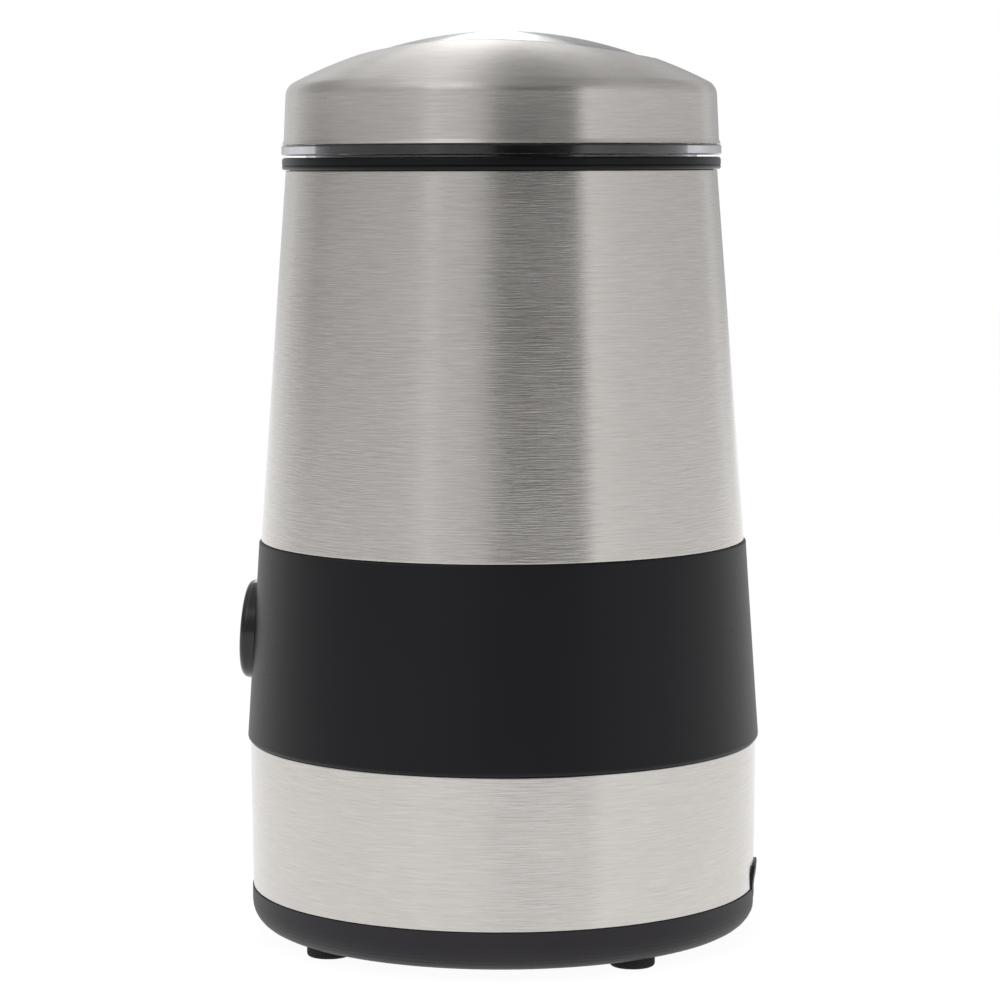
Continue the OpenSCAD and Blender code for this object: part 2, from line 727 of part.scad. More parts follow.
module grinding_bowl() color(steel) {
  c = bowl_corner_r;
  out = bowl_r + bowl_t;
  rotate_extrude() polygon(concat(
    [[bowl_hole_r, bowl_floor_z]],
    arc(bowl_r - c, bowl_floor_z + c, c, -90, 0, 8),
    [[bowl_r, bowl_rim_z], [bowl_rim_r, bowl_rim_z]],
    [[bowl_rim_r, bowl_rim_z - bowl_t], [out, bowl_rim_z - bowl_t]],
    arc(out - c - bowl_t, bowl_floor_z + c, c + bowl_t, 0, -90, 8),
    [[bowl_hole_r, bowl_floor_z - bowl_t]]
  ));
}

module shaft_seal() color(rubber) {
  bore = shaft_r + shaft_fit;
  low_z = deck_z - 0.5;
  lip_r = bowl_hole_r + 1.6;
  lip_t = 0.7;
  top_z = bowl_floor_z + 1.3;
  rotate_extrude() polygon([
    [bore, low_z], [bowl_hole_r - seat, low_z], [bowl_hole_r - seat, bowl_floor_z + seat],
    [lip_r, bowl_floor_z + seat], [lip_r - 0.2, bowl_floor_z + seat + lip_t],
    [shaft_r + 1, top_z], [bore, top_z]
  ]);
}

// ---- Lid ----

module oval(grow) {
  polygon([for (i = [0:71]) [(window_long_r + grow) * cos(5 * i), (window_short_r + grow) * sin(5 * i)]]);
}

// Points of the domed top and its rounded shoulder, drawn in from the cover's outer face
function dome_points(inset) =
  let (
    dome_r = cover_dome_r - inset,
    corner_r = cover_corner_r - min(inset, cover_corner_r - 0.4),
    mid_z = lid_top_z - cover_dome_r,
    corner_x = cover_shoulder_r - inset - corner_r,
    corner_z = mid_z + sqrt(pow(dome_r - corner_r, 2) - pow(corner_x, 2)),
    lean = atan2(corner_z - mid_z, corner_x)
  )
  concat(
    arc(0, mid_z, dome_r, 90, lean, 12),
    arc(corner_x, corner_z, corner_r, lean, 0, 6)
  );

module lid_cover() color(steel) {
  flare_z = cover_z + 0.9; // top of the flared lower edge
  difference() {
    rotate_extrude() polygon(concat(
      dome_points(0),
      [[cover_side_r, flare_z], [cover_low_r, cover_z], [cover_low_r - cover_t, cover_z]],
      [[cover_side_r - cover_t, flare_z]],
      reverse_points(dome_points(cover_t))
    ));
    rotate([0, 0, window_angle]) translate([0, 0, lid_rim_top_z]) linear_extrude(lid_h) oval(0);
  }
}

function reverse_points(p) = [for (i = [len(p) - 1:-1:0]) p[i]];

window_fit = 0.2;
seal_h = 2.2;
seal_z = bowl_rim_z + 0.2;
rib_z = seal_z + seal_h + touch;

module lid_dome() color([0.86, 0.85, 0.9, 0.45]) {
  outer = cover_t + seat;
  rib_w = 1.2;
  rib_h = 1.4;
  union() {
    rotate_extrude() polygon(concat(
      dome_points(outer),
      [
        [cover_side_r - outer, lid_rim_top_z], [lid_rim_r - bevel, lid_rim_top_z],
        [lid_rim_r, lid_rim_top_z - bevel], [lid_rim_r, lid_z + bevel],
        [lid_rim_r - bevel, lid_z], [lid_skirt_r, lid_z],
        [lid_skirt_r, lug_z], [lid_skirt_in_r, lug_z], [lid_skirt_in_r, rib_z],
        [lid_skirt_in_r - rib_w, rib_z], [lid_skirt_in_r - rib_w, rib_z + rib_h],
        [lid_skirt_in_r, rib_z + rib_h], [lid_skirt_in_r, lid_rim_top_z],
        [cover_side_r - outer - lid_wall, lid_rim_top_z + 2]
      ],
      reverse_points(dome_points(outer + lid_wall))
    ));
    // raised oval that fills the cover's window
    intersection() {
      translate([0, 0, lid_top_z - window_dome_r]) sphere(r = window_dome_r);
      rotate([0, 0, window_angle]) translate([0, 0, lid_rim_top_z])
        linear_extrude(lid_h) oval(-window_fit);
      translate([0, 0, lid_top_z - cover_dome_r]) difference() {
        sphere(r = cover_dome_r + 2);
        sphere(r = cover_dome_r - outer - lid_wall / 2);
      }
    }
    for (a = hook_angles)
      translate([0, 0, lug_z]) ring_part(lid_skirt_r - eps, lug_r, lug_h, a, lug_half_angle);
  }
}

module lid_seal() color([0.8, 0.8, 0.8])
  rotate_extrude() polygon([
    [bowl_r + bowl_t, seal_z], [lid_skirt_in_r - seat, seal_z], [lid_skirt_in_r - seat, seal_z + seal_h],
    [bowl_r + bowl_t + 0.8, seal_z + seal_h]
  ]);

// ---- Twist lock and safety pin ----

module lock_ring() color([0.85, 0.85, 0.82]) {
  in_r = lid_skirt_in_r - 0.4;
  trim = 0.15; // keeps the dogs and the ramp inside the ring's own edges
  ramp_w = 6;
  ramp_l = 2 * pin_circle_r * sin(lock_turn / 2);
  rest_l = 2; // level stretch behind the ramp
  union() {
    translate([0, 0, lock_ring_z]) ring(in_r, lug_r, lock_ring_t);
    for (a = hook_angles, side = [-1, 1])
      translate([0, 0, lock_ring_z + eps])
        ring_part(ledge_r, lug_r - trim, lug_top_z - lock_ring_z - eps,
          a + side * (lug_half_angle + dog_play + dog_angle / 2), dog_angle / 2);
    // ramp that pushes the safety pin down
    intersection() {
      rotate([0, 0, pin_angle + lock_turn / 2 - 90])
        translate([0, pin_circle_r * cos(lock_turn / 2) - ramp_w / 2, 0]) rotate([-90, 0, 0])
          linear_extrude(ramp_w) polygon([
            [ramp_l / 2, -lock_ring_z], [ramp_l / 2, -lock_ring_z - 1],
            [-ramp_l / 2 - 2 * rest_l, -lock_ring_z - 1], [-ramp_l / 2 - 2 * rest_l, -lock_ring_z],
            [-ramp_l / 2 - rest_l, -lock_ring_z + pin_travel], [-ramp_l / 2, -lock_ring_z + pin_travel]
          ]);
      translate([0, 0, lock_ring_z - 5]) ring(in_r + trim, lug_r - trim, 10);
    }
  }
}

module safety_pin() color([0.9, 0.9, 0.88])
  at_pin() rotate_extrude() polygon(concat(
    [[0, pin_end_z], [pin_r, pin_end_z], [pin_r, pin_head_z], [pin_head_r, pin_head_z],
      [pin_head_r, pin_head_z + pin_head_h], [pin_r, pin_head_z + pin_head_h]],
    arc(0, pin_top_z - pin_r, pin_r, 0, 90, 6)
  ));

module safety_spring() color(iron)
  at_pin() translate([0, 0, pin_guide_top_z + touch])
    coil_spring(r = 2.3, wire_r = 0.3, h = safety_spring_h - 2 * touch, turns = 5);

module safety_switch() color([0.2, 0.2, 0.22])
  at_pin() translate([0, 0, safety_switch_top_z]) microswitch();

module safety_plunger() color([0.75, 0.1, 0.1])
  at_pin() translate([0, 0, safety_switch_top_z]) plunger(safety_reach);

// ---- Button and power switch ----

module power_button() color(black)
  at_button() {
    e = button_edge_r;
    inner_z = button_proud - button_wall;
    hook_half = 14;
    hook_out = 1.2;
    tongue_in = 0.2;
    rotate_extrude() polygon(concat(
      [[0, button_proud], [button_r - e, button_proud]],
      arc(button_r - e, button_proud - e, e, 75, 0, 5),
      [[button_r, -guide_depth], [button_r - button_wall, -guide_depth], [button_r - button_wall, inner_z]],
      [[stem_r, inner_z], [stem_r, stem_end + eps], [0, stem_end + eps]]
    ));
    // snap hooks behind the guide sleeve
    for (side = [90, 270])
      translate([0, 0, -guide_depth - button_hook_h - bevel]) {
        ring_part(button_r - button_wall + tongue_in, button_r - tongue_in,
          2 * button_hook_h, side, hook_half);
        ring_part(button_r - button_wall / 2, button_r + hook_out, button_hook_h, side, hook_half - 0.5);
      }
  }

module power_plunger() color([0.75, 0.1, 0.1])
  at_button() translate([0, 0, power_switch_top]) plunger(plunger_out - touch);

module power_switch() color([0.2, 0.2, 0.22])
  at_button() translate([0, 0, power_switch_top]) microswitch();

module button_spring() color(iron)
  at_button() translate([0, 0, bracket_face + touch])
    coil_spring(r = 3.3, wire_r = 0.35, h = button_proud - button_wall - bracket_face - 2 * touch, turns = 6);

bracket_l = 41;
bracket_w = 11;
bracket_screw_r = 0.95;
bracket_screw_l = 6;
module switch_bracket() color(iron) at_button() {
  shelf_l = bracket_face - bracket_sheet - power_switch_top + switch_h;
  shelf_y = -switch_t / 2 - bracket_sheet - touch;
  difference() {
    translate([-bracket_l / 2, -bracket_w / 2, bracket_face - bracket_sheet])
      cube([bracket_l, bracket_w, bracket_sheet]);
    translate([0, 0, bracket_face - 5]) cylinder(r = stem_r + bevel, h = 10);
    for (x = [-bracket_boss_x, bracket_boss_x])
      translate([x, 0, bracket_face - 5]) cylinder(r = 1.5 * bracket_screw_r, h = 10);
  }
  difference() {
    translate([-switch_l / 2 - 1, shelf_y, bracket_face - bracket_sheet - shelf_l])
      cube([switch_l + 2, bracket_sheet, shelf_l + eps]);
    for (x = [-1, 1])
      translate([x * switch_hole_spacing / 2, 0, power_switch_top - switch_h + peg_up])
        rotate([90, 0, 0]) cylinder(r = switch_screw_r + touch, h = 10);
  }
}

module bracket_screws() color(iron)
  for (x = [-bracket_boss_x, bracket_boss_x])
    at_button() translate([x, 0, bracket_face - bracket_sheet - touch])
      screw(bracket_screw_l, bracket_screw_r, 2.3, 1.4);

switch_screw_r = 1.05;
module switch_screws() color(iron)
  for (x = [-1, 1])
    at_button() translate([x * switch_hole_spacing / 2, switch_t / 2 + touch, power_switch_top - switch_h])
      translate([0, 0, peg_up]) rotate([90, 0, 0])
        screw(switch_t + bracket_sheet + 2 * touch, switch_screw_r, 2.2, 1.3);

// ---- Motor, still parts ----

motor_screw_r = 1.15;
mount_r = 5;
module motor_mounts() color(rubber)
  for (a = mount_angles)
    rotate([0, 0, a]) translate([mount_circle_r, 0, bracket_top_z + touch])
      ring(motor_screw_r + 0.65, mount_r, mount_h - 2 * touch);

module motor_screws() color(iron)
  for (a = mount_angles)
    rotate([0, 0, a]) translate([mount_circle_r, 0, bracket_z - touch])
      screw(bracket_t + mount_h + 5, motor_screw_r, 3.2, 2);

module upper_bracket() color(iron) {
  ear_r = 5.6;
  spacer_r = 3.4;
  vent_r = 9; // round cut in each long side, over the windings
  difference() {
    union() {
      translate([0, 0, bracket_z]) linear_extrude(bracket_t) {
        rounded(stator_l, stator_w, core_corner_r);
        for (a = mount_angles) rotate([0, 0, a]) {
          translate([mount_circle_r, 0]) circle(r = ear_r);
          translate([0, -ear_r]) square([mount_circle_r, 2 * ear_r]);
        }
      }
      translate([0, 0, bracket_top_z - eps]) cylinder(r = bearing_r + bearing_wall, h = bearing_l - 1 + eps);
      for (x = [-1, 1], y = [-1, 1])
        translate([x * bolt_x, y * bolt_y, stack_top_z + touch]) cylinder(r = spacer_r, h = spacer_h);
    }
    translate([0, 0, bracket_z - 1]) cylinder(r = shaft_r + 1, h = 20);
    translate([0, 0, bracket_top_z]) cylinder(r = bearing_r + touch, h = bearing_l + 1);
    for (x = [-1, 1], y = [-1, 1])
      translate([x * bolt_x, y * bolt_y, stack_top_z - 1]) cylinder(r = bolt_hole_r, h = 30);
    for (a = mount_angles)
      rotate([0, 0, a]) translate([mount_circle_r, 0, bracket_z - 1])
        cylinder(r = motor_screw_r + 0.65, h = bracket_t + 2);
    for (y = [-1, 1])
      translate([0, y * stator_w / 2, bracket_z - 1]) cylinder(r = vent_r, h = bracket_t + 2);
  }
}

module bearing(z) {
  translate([0, 0, z]) ring(shaft_r + shaft_fit, bearing_r, bearing_l);
}
module upper_bearing() color("goldenrod") bearing(bracket_top_z + touch);
module lower_bearing() color("goldenrod") bearing(lower_plate_z + touch);

shoe_r = bore_r + 2.4;
window_y1 = 10.5;
window_y2 = 19.8;
window_x = stator_l / 2 - 6;
pole_gap_w = 9;
pole_gap_y = 12;
module stator_core() color(iron)
  translate([0, 0, stack_z]) linear_extrude(stack_h) difference() {
    rounded(stator_l, stator_w, core_corner_r);
    circle(r = bore_r);
    for (side = [-1, 1]) {
      difference() {
        translate([-window_x, side > 0 ? window_y1 : -window_y2])
          square([2 * window_x, window_y2 - window_y1]);
        circle(r = shoe_r);
      }
      translate([-pole_gap_w / 2, side > 0 ? pole_gap_y : -window_y2])
        square([pole_gap_w, window_y2 - pole_gap_y]);
      for (x = [-1, 1]) translate([x * bolt_x, side * bolt_y]) circle(r = bolt_hole_r);
    }
  }

module field_coils() color(copper) {
  coil_fit = 0.4;
  coil_w = window_x - shoe_r - 2 * coil_fit;
  coil_t = 6.5; // thickness of a winding around its pole
  inner_w = 2 * (window_y1 + coil_fit);
  inner_h = stack_h + 2;
  for (side = [0, 180])
    rotate([0, 0, side]) translate([shoe_r + coil_fit, 0, stack_z + stack_h / 2]) rotate([90, 0, 90])
      linear_extrude(coil_w) difference() {
        rounded(inner_w + 2 * coil_t, stack_h + 2 * coil_reach, 4);
        rounded(inner_w, inner_h, 1.5);
      }
}

module stator_bolts() color(iron)
  for (x = [-1, 1], y = [-1, 1])
    translate([x * bolt_x, y * bolt_y, lower_plate_z - touch])
      screw(bracket_top_z - lower_plate_z + 2, bolt_r, 3.2, 2);

brush_w = 6;
brush_t = 5;
brush_l = 10;
holder_t = 0.8;
holder_in = commutator_r + 1.2;
holder_out = commutator_r + 17;
carrier_l = 9;
module lower_bracket() color([0.16, 0.16, 0.18]) difference() {
  arm_w = 8;
  hub_r = 13;
  pillar_r = 3.6;
  brush_arm_w = 10;
  carrier_w = brush_w + 5;
  carrier_h = brush_z + 6 - lower_plate_z;
  pocket_w = brush_w + 2 * holder_t + 0.5;
  pocket_h = brush_t + 2 * holder_t + 0.5;
  union() {
    translate([0, 0, lower_plate_z]) linear_extrude(lower_plate_t) {
      for (a = [-1, 1]) rotate([0, 0, a * atan(bolt_y / bolt_x)])
        square([2 * norm([bolt_x, bolt_y]), arm_w], center = true);
      square([brush_arm_w, 2 * holder_out - 4], center = true);
      circle(r = hub_r);
      for (x = [-1, 1], y = [-1, 1]) translate([x * bolt_x, y * bolt_y]) circle(r = arm_w / 2);
    }
    translate([0, 0, lower_plate_z]) cylinder(r = bearing_r + bearing_wall, h = bearing_l - 1);
    for (x = [-1, 1], y = [-1, 1])
      translate([x * bolt_x, y * bolt_y, lower_plate_z])
        cylinder(r = pillar_r, h = stack_z - lower_plate_z - touch);
    for (side = [-1, 1])
      translate([0, side * (holder_out - 2 - carrier_l / 2), lower_plate_z + carrier_h / 2])
        cube([carrier_w, carrier_l, carrier_h], center = true);
  }
  translate([0, 0, lower_plate_z - 1]) cylinder(r = bearing_r + touch, h = bearing_l + 2);
  for (x = [-1, 1], y = [-1, 1])
    translate([x * bolt_x, y * bolt_y, lower_plate_z - 1]) cylinder(r = bolt_hole_r, h = 50);
  translate([0, 0, brush_z]) cube([pocket_w, 80, pocket_h], center = true);
}

module brush_holders() color("goldenrod")
  for (side = [0, 180])
    rotate([0, 0, side]) translate([0, (holder_in + holder_out) / 2, brush_z]) difference() {
      cube([brush_w + 2 * holder_t, holder_out - holder_in, brush_t + 2 * holder_t], center = true);
      translate([0, -holder_t, 0])
        cube([brush_w + 2 * seat, holder_out - holder_in, brush_t + 2 * seat], center = true);
    }

module carbon_brushes() color([0.2, 0.2, 0.2])
  for (side = [0, 180])
    rotate([0, 0, side]) translate([0, 0, brush_z]) difference() {
      translate([-brush_w / 2, 0, -brush_t / 2]) cube([brush_w, commutator_r + brush_l, brush_t]);
      cylinder(r = commutator_r + seat, h = 20, center = true);
    }

module brush_springs() color(iron)
  for (side = [0, 180])
    rotate([0, 0, side]) translate([0, commutator_r + brush_l + touch, brush_z]) rotate([-90, 0, 0])
      coil_spring(
        r = 1.9,
        wire_r = 0.25,
        h = holder_out - holder_t - commutator_r - brush_l - 2 * touch,
        turns = 4
      );

// ---- Rotor ----

module motor_shaft() color(steel)
  translate([0, 0, shaft_z]) rotate_extrude() polygon([
    [0, 0], [shaft_r - 0.4, 0], [shaft_r, 0.4], [shaft_r, shaft_top_z - shaft_z - 0.5],
    [shaft_r - 0.5, shaft_top_z - shaft_z], [0, shaft_top_z - shaft_z]
  ]);

slot_r = 2.1;
slot_mouth_w = 1.4;
slot_circle_r = armature_r - 4.4;
module armature_core() color(iron)
  translate([0, 0, stack_z]) linear_extrude(stack_h) difference() {
    circle(r = armature_r);
    circle(r = shaft_r);
    for (i = [0:slot_count - 1])
      rotate([0, 0, i * 360 / slot_count]) {
        translate([slot_circle_r, 0]) circle(r = slot_r);
        translate([slot_circle_r, -slot_mouth_w / 2]) square([6, slot_mouth_w]);
      }
  }

module armature_windings() color(copper) union() {
  ring_h = coil_reach - 0.8;
  in_r = shaft_r + 1.2;
  out_r = armature_r - 1.8;
  slope_h = 2.6;
  slope_w = 3.2;
  rod_out = 2; // how far the rods reach into the end rings
  for (i = [0:slot_count - 1])
    rotate([0, 0, i * 360 / slot_count]) translate([slot_circle_r, 0, stack_z - rod_out])
      cylinder(r = slot_r - 0.2, h = stack_h + 2 * rod_out);
  for (end = [0, 1])
    translate([0, 0, end == 0 ? stack_z - bevel : stack_top_z + bevel]) mirror([0, 0, 1 - end])
      rotate_extrude() polygon([
        [in_r, 0], [out_r, 0], [out_r - 0.4, ring_h - slope_h], [out_r - slope_w, ring_h], [in_r, ring_h]
      ]);
}

module commutator() color(copper)
  translate([0, 0, commutator_z]) difference() {
    riser_h = 1.6;
    cut_w = 0.6;
    cut_d = 1.2;
    union() {
      ring(shaft_r, commutator_r, commutator_l);
      translate([0, 0, commutator_l - riser_h]) ring(shaft_r, commutator_r + 1, riser_h);
    }
    for (i = [0:slot_count - 1])
      rotate([0, 0, (i + 0.5) * 360 / slot_count])
        translate([commutator_r - cut_d, -cut_w / 2, -1]) cube([4, cut_w, commutator_l + 2]);
  }

module cooling_fan() color([0.75, 0.75, 0.72]) translate([0, 0, fan_z]) union() {
  disc_t = 1.5;
  vane_t = 1.2;
  vane_curve_r = fan_r / 2 + 1.5;
  difference() {
    union() {
      cylinder(r = shaft_r + 2.6, h = fan_h);
      translate([0, 0, fan_h - disc_t]) cylinder(r = fan_r, h = disc_t);
    }
    translate([0, 0, -1]) cylinder(r = shaft_r, h = fan_h + 2);
  }
  for (i = [0:fan_vanes - 1])
    rotate([0, 0, i * 360 / fan_vanes]) translate([fan_r / 2 - 2, -fan_r / 2 - 1, 0])
      rotate([0, 0, 40]) rotate_extrude(angle = 52)
        translate([vane_curve_r, 0]) square([vane_t, fan_h - disc_t + eps]);
}

module blade_hub() color(black) {
  hub_up = 1.6; // over the bowl's floor, clear of the seal
  hub_h = blade_rise - hub_up - touch;
  hub_r = bowl_hole_r + 2;
  translate([0, 0, bowl_floor_z + hub_up]) rotate_extrude() polygon([
    [shaft_r, 0], [hub_r, 0], [hub_r, 0.8], [shaft_r + 3, hub_h], [shaft_r, hub_h]
  ]);
}

// Side view of the bent strip, one tip up and one tip down
blade_tip_l = blade_r - blade_bend_r;
blade_side = [
  [-blade_bend_r, 0], [blade_bend_r, 0], [blade_r, blade_tip_l * tan(blade_up_bend)],
  [blade_r, blade_tip_l * tan(blade_up_bend) + blade_t / cos(blade_up_bend)],
  [blade_bend_r - blade_t * tan(blade_up_bend / 2), blade_t],
  [-blade_bend_r - blade_t * tan(blade_down_bend / 2), blade_t],
  [-blade_r, blade_t / cos(blade_down_bend) - blade_tip_l * tan(blade_down_bend)],
  [-blade_r, -blade_tip_l * tan(blade_down_bend)]
];

// Wedge that grinds a tip's leading edge sharp
module ground_edge(bend) {
  ground_w = 2.6;
  edge_t = 0.15;
  taper = atan(0.36 * blade_w * cos(bend) / blade_tip_l);
  translate([blade_bend_r, 0, 0]) rotate([0, -bend, 0]) translate([0, -blade_w / 2, edge_t])
    rotate([0, 0, taper]) rotate([atan(blade_t / ground_w), 0, 0])
      translate([0, -blade_w, 0]) cube([2 * blade_tip_l, 2 * blade_w, 10]);
}

module grinding_blade() color(steel)
  translate([0, 0, blade_z]) difference() {
    intersection() {
      translate([0, blade_w, 0]) rotate([90, 0, 0]) linear_extrude(2 * blade_w) polygon(blade_side);
      translate([0, 0, -15]) linear_extrude(40) {
        polygon([
          for (side = [1, -1], point = [
            [blade_bend_r, -blade_w / 2], [blade_r, -blade_w * 0.14],
            [blade_r, blade_w * 0.3], [blade_bend_r, blade_w * 0.46]
          ]) side * point
        ]);
        circle(r = blade_w / 2 + 1);
      }
    }
    translate([0, 0, -1]) cylinder(r = shaft_r, h = blade_t + 2);
    ground_edge(blade_up_bend);
    rotate([0, 0, 180]) ground_edge(-blade_down_bend);
  }

module blade_nut() color(steel)
  translate([0, 0, blade_z + blade_t + touch]) difference() {
    nut_r = 6.2;
    cone_h = 1.6;
    intersection() {
      cylinder(r = nut_r, h = nut_h, $fn = 6);
      rotate_extrude() polygon([
        [0, 0], [nut_r + seat, 0], [nut_r + seat, nut_h - cone_h], [nut_r - cone_h, nut_h], [0, nut_h]
      ]);
    }
    translate([0, 0, -1]) cylinder(r = shaft_r, h = nut_h + 2);
  }

base_cover();
rubber_feet();
base_screws();
lower_sleeve();
main_housing();
upper_sleeve();
top_collar();
grinding_bowl();
shaft_seal();
motor_mounts();
motor_screws();
upper_bracket();
upper_bearing();
stator_core();
field_coils();
stator_bolts();
lower_bracket();
lower_bearing();
brush_holders();
carbon_brushes();
brush_springs();
power_switch();
switch_bracket();
bracket_screws();
switch_screws();
button_spring();
safety_switch();
safety_spring();
power_button();
power_plunger();
lock_ring();
safety_pin();
safety_plunger();
lid_dome();
lid_cover();
lid_seal();
motor_shaft();
armature_core();
armature_windings();
commutator();
cooling_fan();
blade_hub();
grinding_blade();
blade_nut();
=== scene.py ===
import math
import bmesh
import bpy
from mathutils import Matrix, Vector


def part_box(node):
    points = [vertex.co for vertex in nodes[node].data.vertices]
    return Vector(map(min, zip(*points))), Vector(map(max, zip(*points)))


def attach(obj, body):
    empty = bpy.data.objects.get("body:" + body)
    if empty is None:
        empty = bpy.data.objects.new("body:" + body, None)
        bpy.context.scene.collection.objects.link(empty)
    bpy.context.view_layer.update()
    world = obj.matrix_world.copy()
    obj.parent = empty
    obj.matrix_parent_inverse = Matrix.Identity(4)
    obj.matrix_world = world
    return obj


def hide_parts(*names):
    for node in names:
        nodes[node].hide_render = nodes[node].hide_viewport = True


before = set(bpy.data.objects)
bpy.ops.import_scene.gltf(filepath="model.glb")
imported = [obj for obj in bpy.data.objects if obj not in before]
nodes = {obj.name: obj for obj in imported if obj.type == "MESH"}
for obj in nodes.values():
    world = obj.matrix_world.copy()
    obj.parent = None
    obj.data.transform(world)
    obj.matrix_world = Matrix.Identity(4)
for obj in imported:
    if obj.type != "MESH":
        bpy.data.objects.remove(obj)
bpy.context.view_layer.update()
mm = 0.001
print("frame loaded:", len(nodes), "nodes")


def toLinear(hexColour):
    # sRGB hex to linear RGBA, by the curve that the sRGB standard gives
    parts = [int(hexColour[i:i + 2], 16) / 255 for i in (1, 3, 5)]
    return [c / 12.92 if c <= 0.04045 else ((c + 0.055) / 1.055) ** 2.4 for c in parts] + [1]


def addNode(tree, kind, settings=None, links=None):
    # one node: settings go to its own properties first, then to its input sockets
    node = tree.nodes.new(kind)
    for name, value in (settings or {}).items():
        if isinstance(name, str) and hasattr(node, name):
            setattr(node, name, value)
        else:
            node.inputs[name].default_value = value
    for name, source in (links or {}).items():
        tree.links.new(source, node.inputs[name])
    return node


def between(ends, more=None):
    # settings of a map range that starts and ends at two values
    return {"From Min": ends[0], "From Max": ends[1], **(more or {})}


smoothly = {"interpolation_type": "SMOOTHSTEP"}

# ---- camera

cameraSet = {
    "azimuth": 95,        # degrees round the object, 0 looks along +Y
    "distance": 716.6,    # mm from the middle axis
    "height": 158.6,      # mm above the floor
    "lens": 125.7,        # mm
    "sensor": 36,         # mm wide
    "pitchDown": 5.51,    # degrees, as are the two below
    "roll": -0.176,
    "yaw": 0.04,
}


def makeCamera(values):
    data = bpy.data.cameras.new("camera")
    data.lens = values["lens"]
    data.sensor_width = values["sensor"]
    camera = bpy.data.objects.new("camera", data)
    bpy.context.scene.collection.objects.link(camera)
    turn = math.radians(values["azimuth"])
    place = Vector((
        values["distance"] * math.sin(turn), -values["distance"] * math.cos(turn), values["height"]
    )) * mm
    look = (
        Matrix.Rotation(turn + math.radians(values["yaw"]), 4, "Z")
        @ Matrix.Rotation(math.radians(90 - values["pitchDown"]), 4, "X")
        @ Matrix.Rotation(math.radians(values["roll"]), 4, "Z")
    )
    camera.matrix_world = Matrix.Translation(place) @ look
    bpy.context.scene.camera = camera


makeCamera(cameraSet)
bpy.context.scene.view_settings.view_transform = "Standard"
print("camera placed")

# ---- light, floor and world

lampAim = 90    # mm above the floor, the middle of the body
lampSet = {
    # azimuth and elevation of each soft box in degrees, its distance and size in metres, power in watts
    "key": {"azimuth": 66, "elevation": 40, "distance": 1.6, "size": 1.0, "power": 9},
    "fill": {"azimuth": 150, "elevation": 30, "distance": 1.8, "size": 1.2, "power": 5},
    "top": {"azimuth": 95, "elevation": 84, "distance": 1.5, "size": 1.0, "power": 6},
}


def makeLamps(lamps):
    # soft boxes that light the matt surfaces; the steel shows the world's panels instead
    middle = Vector((0, 0, lampAim * mm))
    for name, values in lamps.items():
        turn = math.radians(values["azimuth"])
        rise = math.radians(values["elevation"])
        back = Vector((math.sin(turn) * math.cos(rise), -math.cos(turn) * math.cos(rise), math.sin(rise)))
        data = bpy.data.lights.new(name, "AREA")
        data.size = values["size"]
        data.energy = values["power"]
        lamp = bpy.data.objects.new(name, data)
        lamp.matrix_world = (
            Matrix.Translation(middle + back * values["distance"])
            @ back.to_track_quat("Z", "Y").to_matrix().to_4x4()
        )
        lamp.visible_glossy = False
        bpy.context.scene.collection.objects.link(lamp)


makeLamps(lampSet)

worldSet = {
    "diffuseStrength": 0.6,
    "front": 5,                   # direction, in degrees from +X, that the panels' turns are counted from
    # brightness of the studio's panels by their turn, for directions near the horizon
    "horizon": [
        (-180, 0.42), (-177, 0.72), (-159, 0.66), (-142, 0.66), (-129, 0.52), (-111, 0.34), (-97, 0.39),
        (-81, 0.42), (-67, 0.44), (-53, 0.46), (-44, 0.5), (-40, 0.54), (-37, 0.68), (-34, 0.7), (-32, 0.5),
        (-20, 0.48), (-10, 0.38), (-5, 0.24), (-1, 0.08), (5, 0.035), (17, 0.04), (30, 0.09), (40, 0.15),
        (43, 0.84), (64, 0.68), (93, 0.6), (113, 0.57), (127, 0.54), (140, 0.66), (155, 0.64), (170, 0.52),
        (180, 0.38)
    ],
    # the same higher up
    "above": [
        (-180, 0.5), (-124, 0.44), (-100, 0.53), (-82, 0.66), (-65, 0.72), (-50, 0.92), (-36, 1.0),
        (-22, 0.88), (-9, 0.63), (4, 0.42), (17, 0.34), (31, 0.36), (45, 0.41), (60, 0.49), (75, 0.5),
        (93, 0.46), (115, 0.43), (147, 0.52), (180, 0.5)
    ],
    # the white wall low down behind the object, which the dome's crest shows
    "wall": [
        (-180, 0.68), (-150, 0.66), (-110, 1.1), (-70, 3.2), (0, 4.4), (30, 4.2), (60, 2.4), (100, 0.8),
        (150, 0.5), (180, 0.4)
    ],
    "blend": (0.25, 0.75),        # heights of the direction where the lower panels turn into the upper
    "wallTop": (0.6, 0.46),       # and those at which the wall starts and is full
    "wallStart": (-0.72, -0.92),  # the same along the way to the back
    # soft box: its direction and elevation, half its width where it starts and where it is full, brightness
    "softBox": {"turn": -29, "rise": 43, "wide": (18, 5), "strength": 0.5},
}


def fillRamp(ramp, stops):
    # stops by degrees from -180 to 180 to a colour ramp's greys
    elements = ramp.color_ramp.elements
    while len(elements) > 1:
        elements.remove(elements[-1])
    for index, (turn, grey) in enumerate(stops):
        place = (turn + 180) / 360
        element = elements[0] if index == 0 else elements.new(place)
        element.position = place
        element.color = (grey, grey, grey, 1)


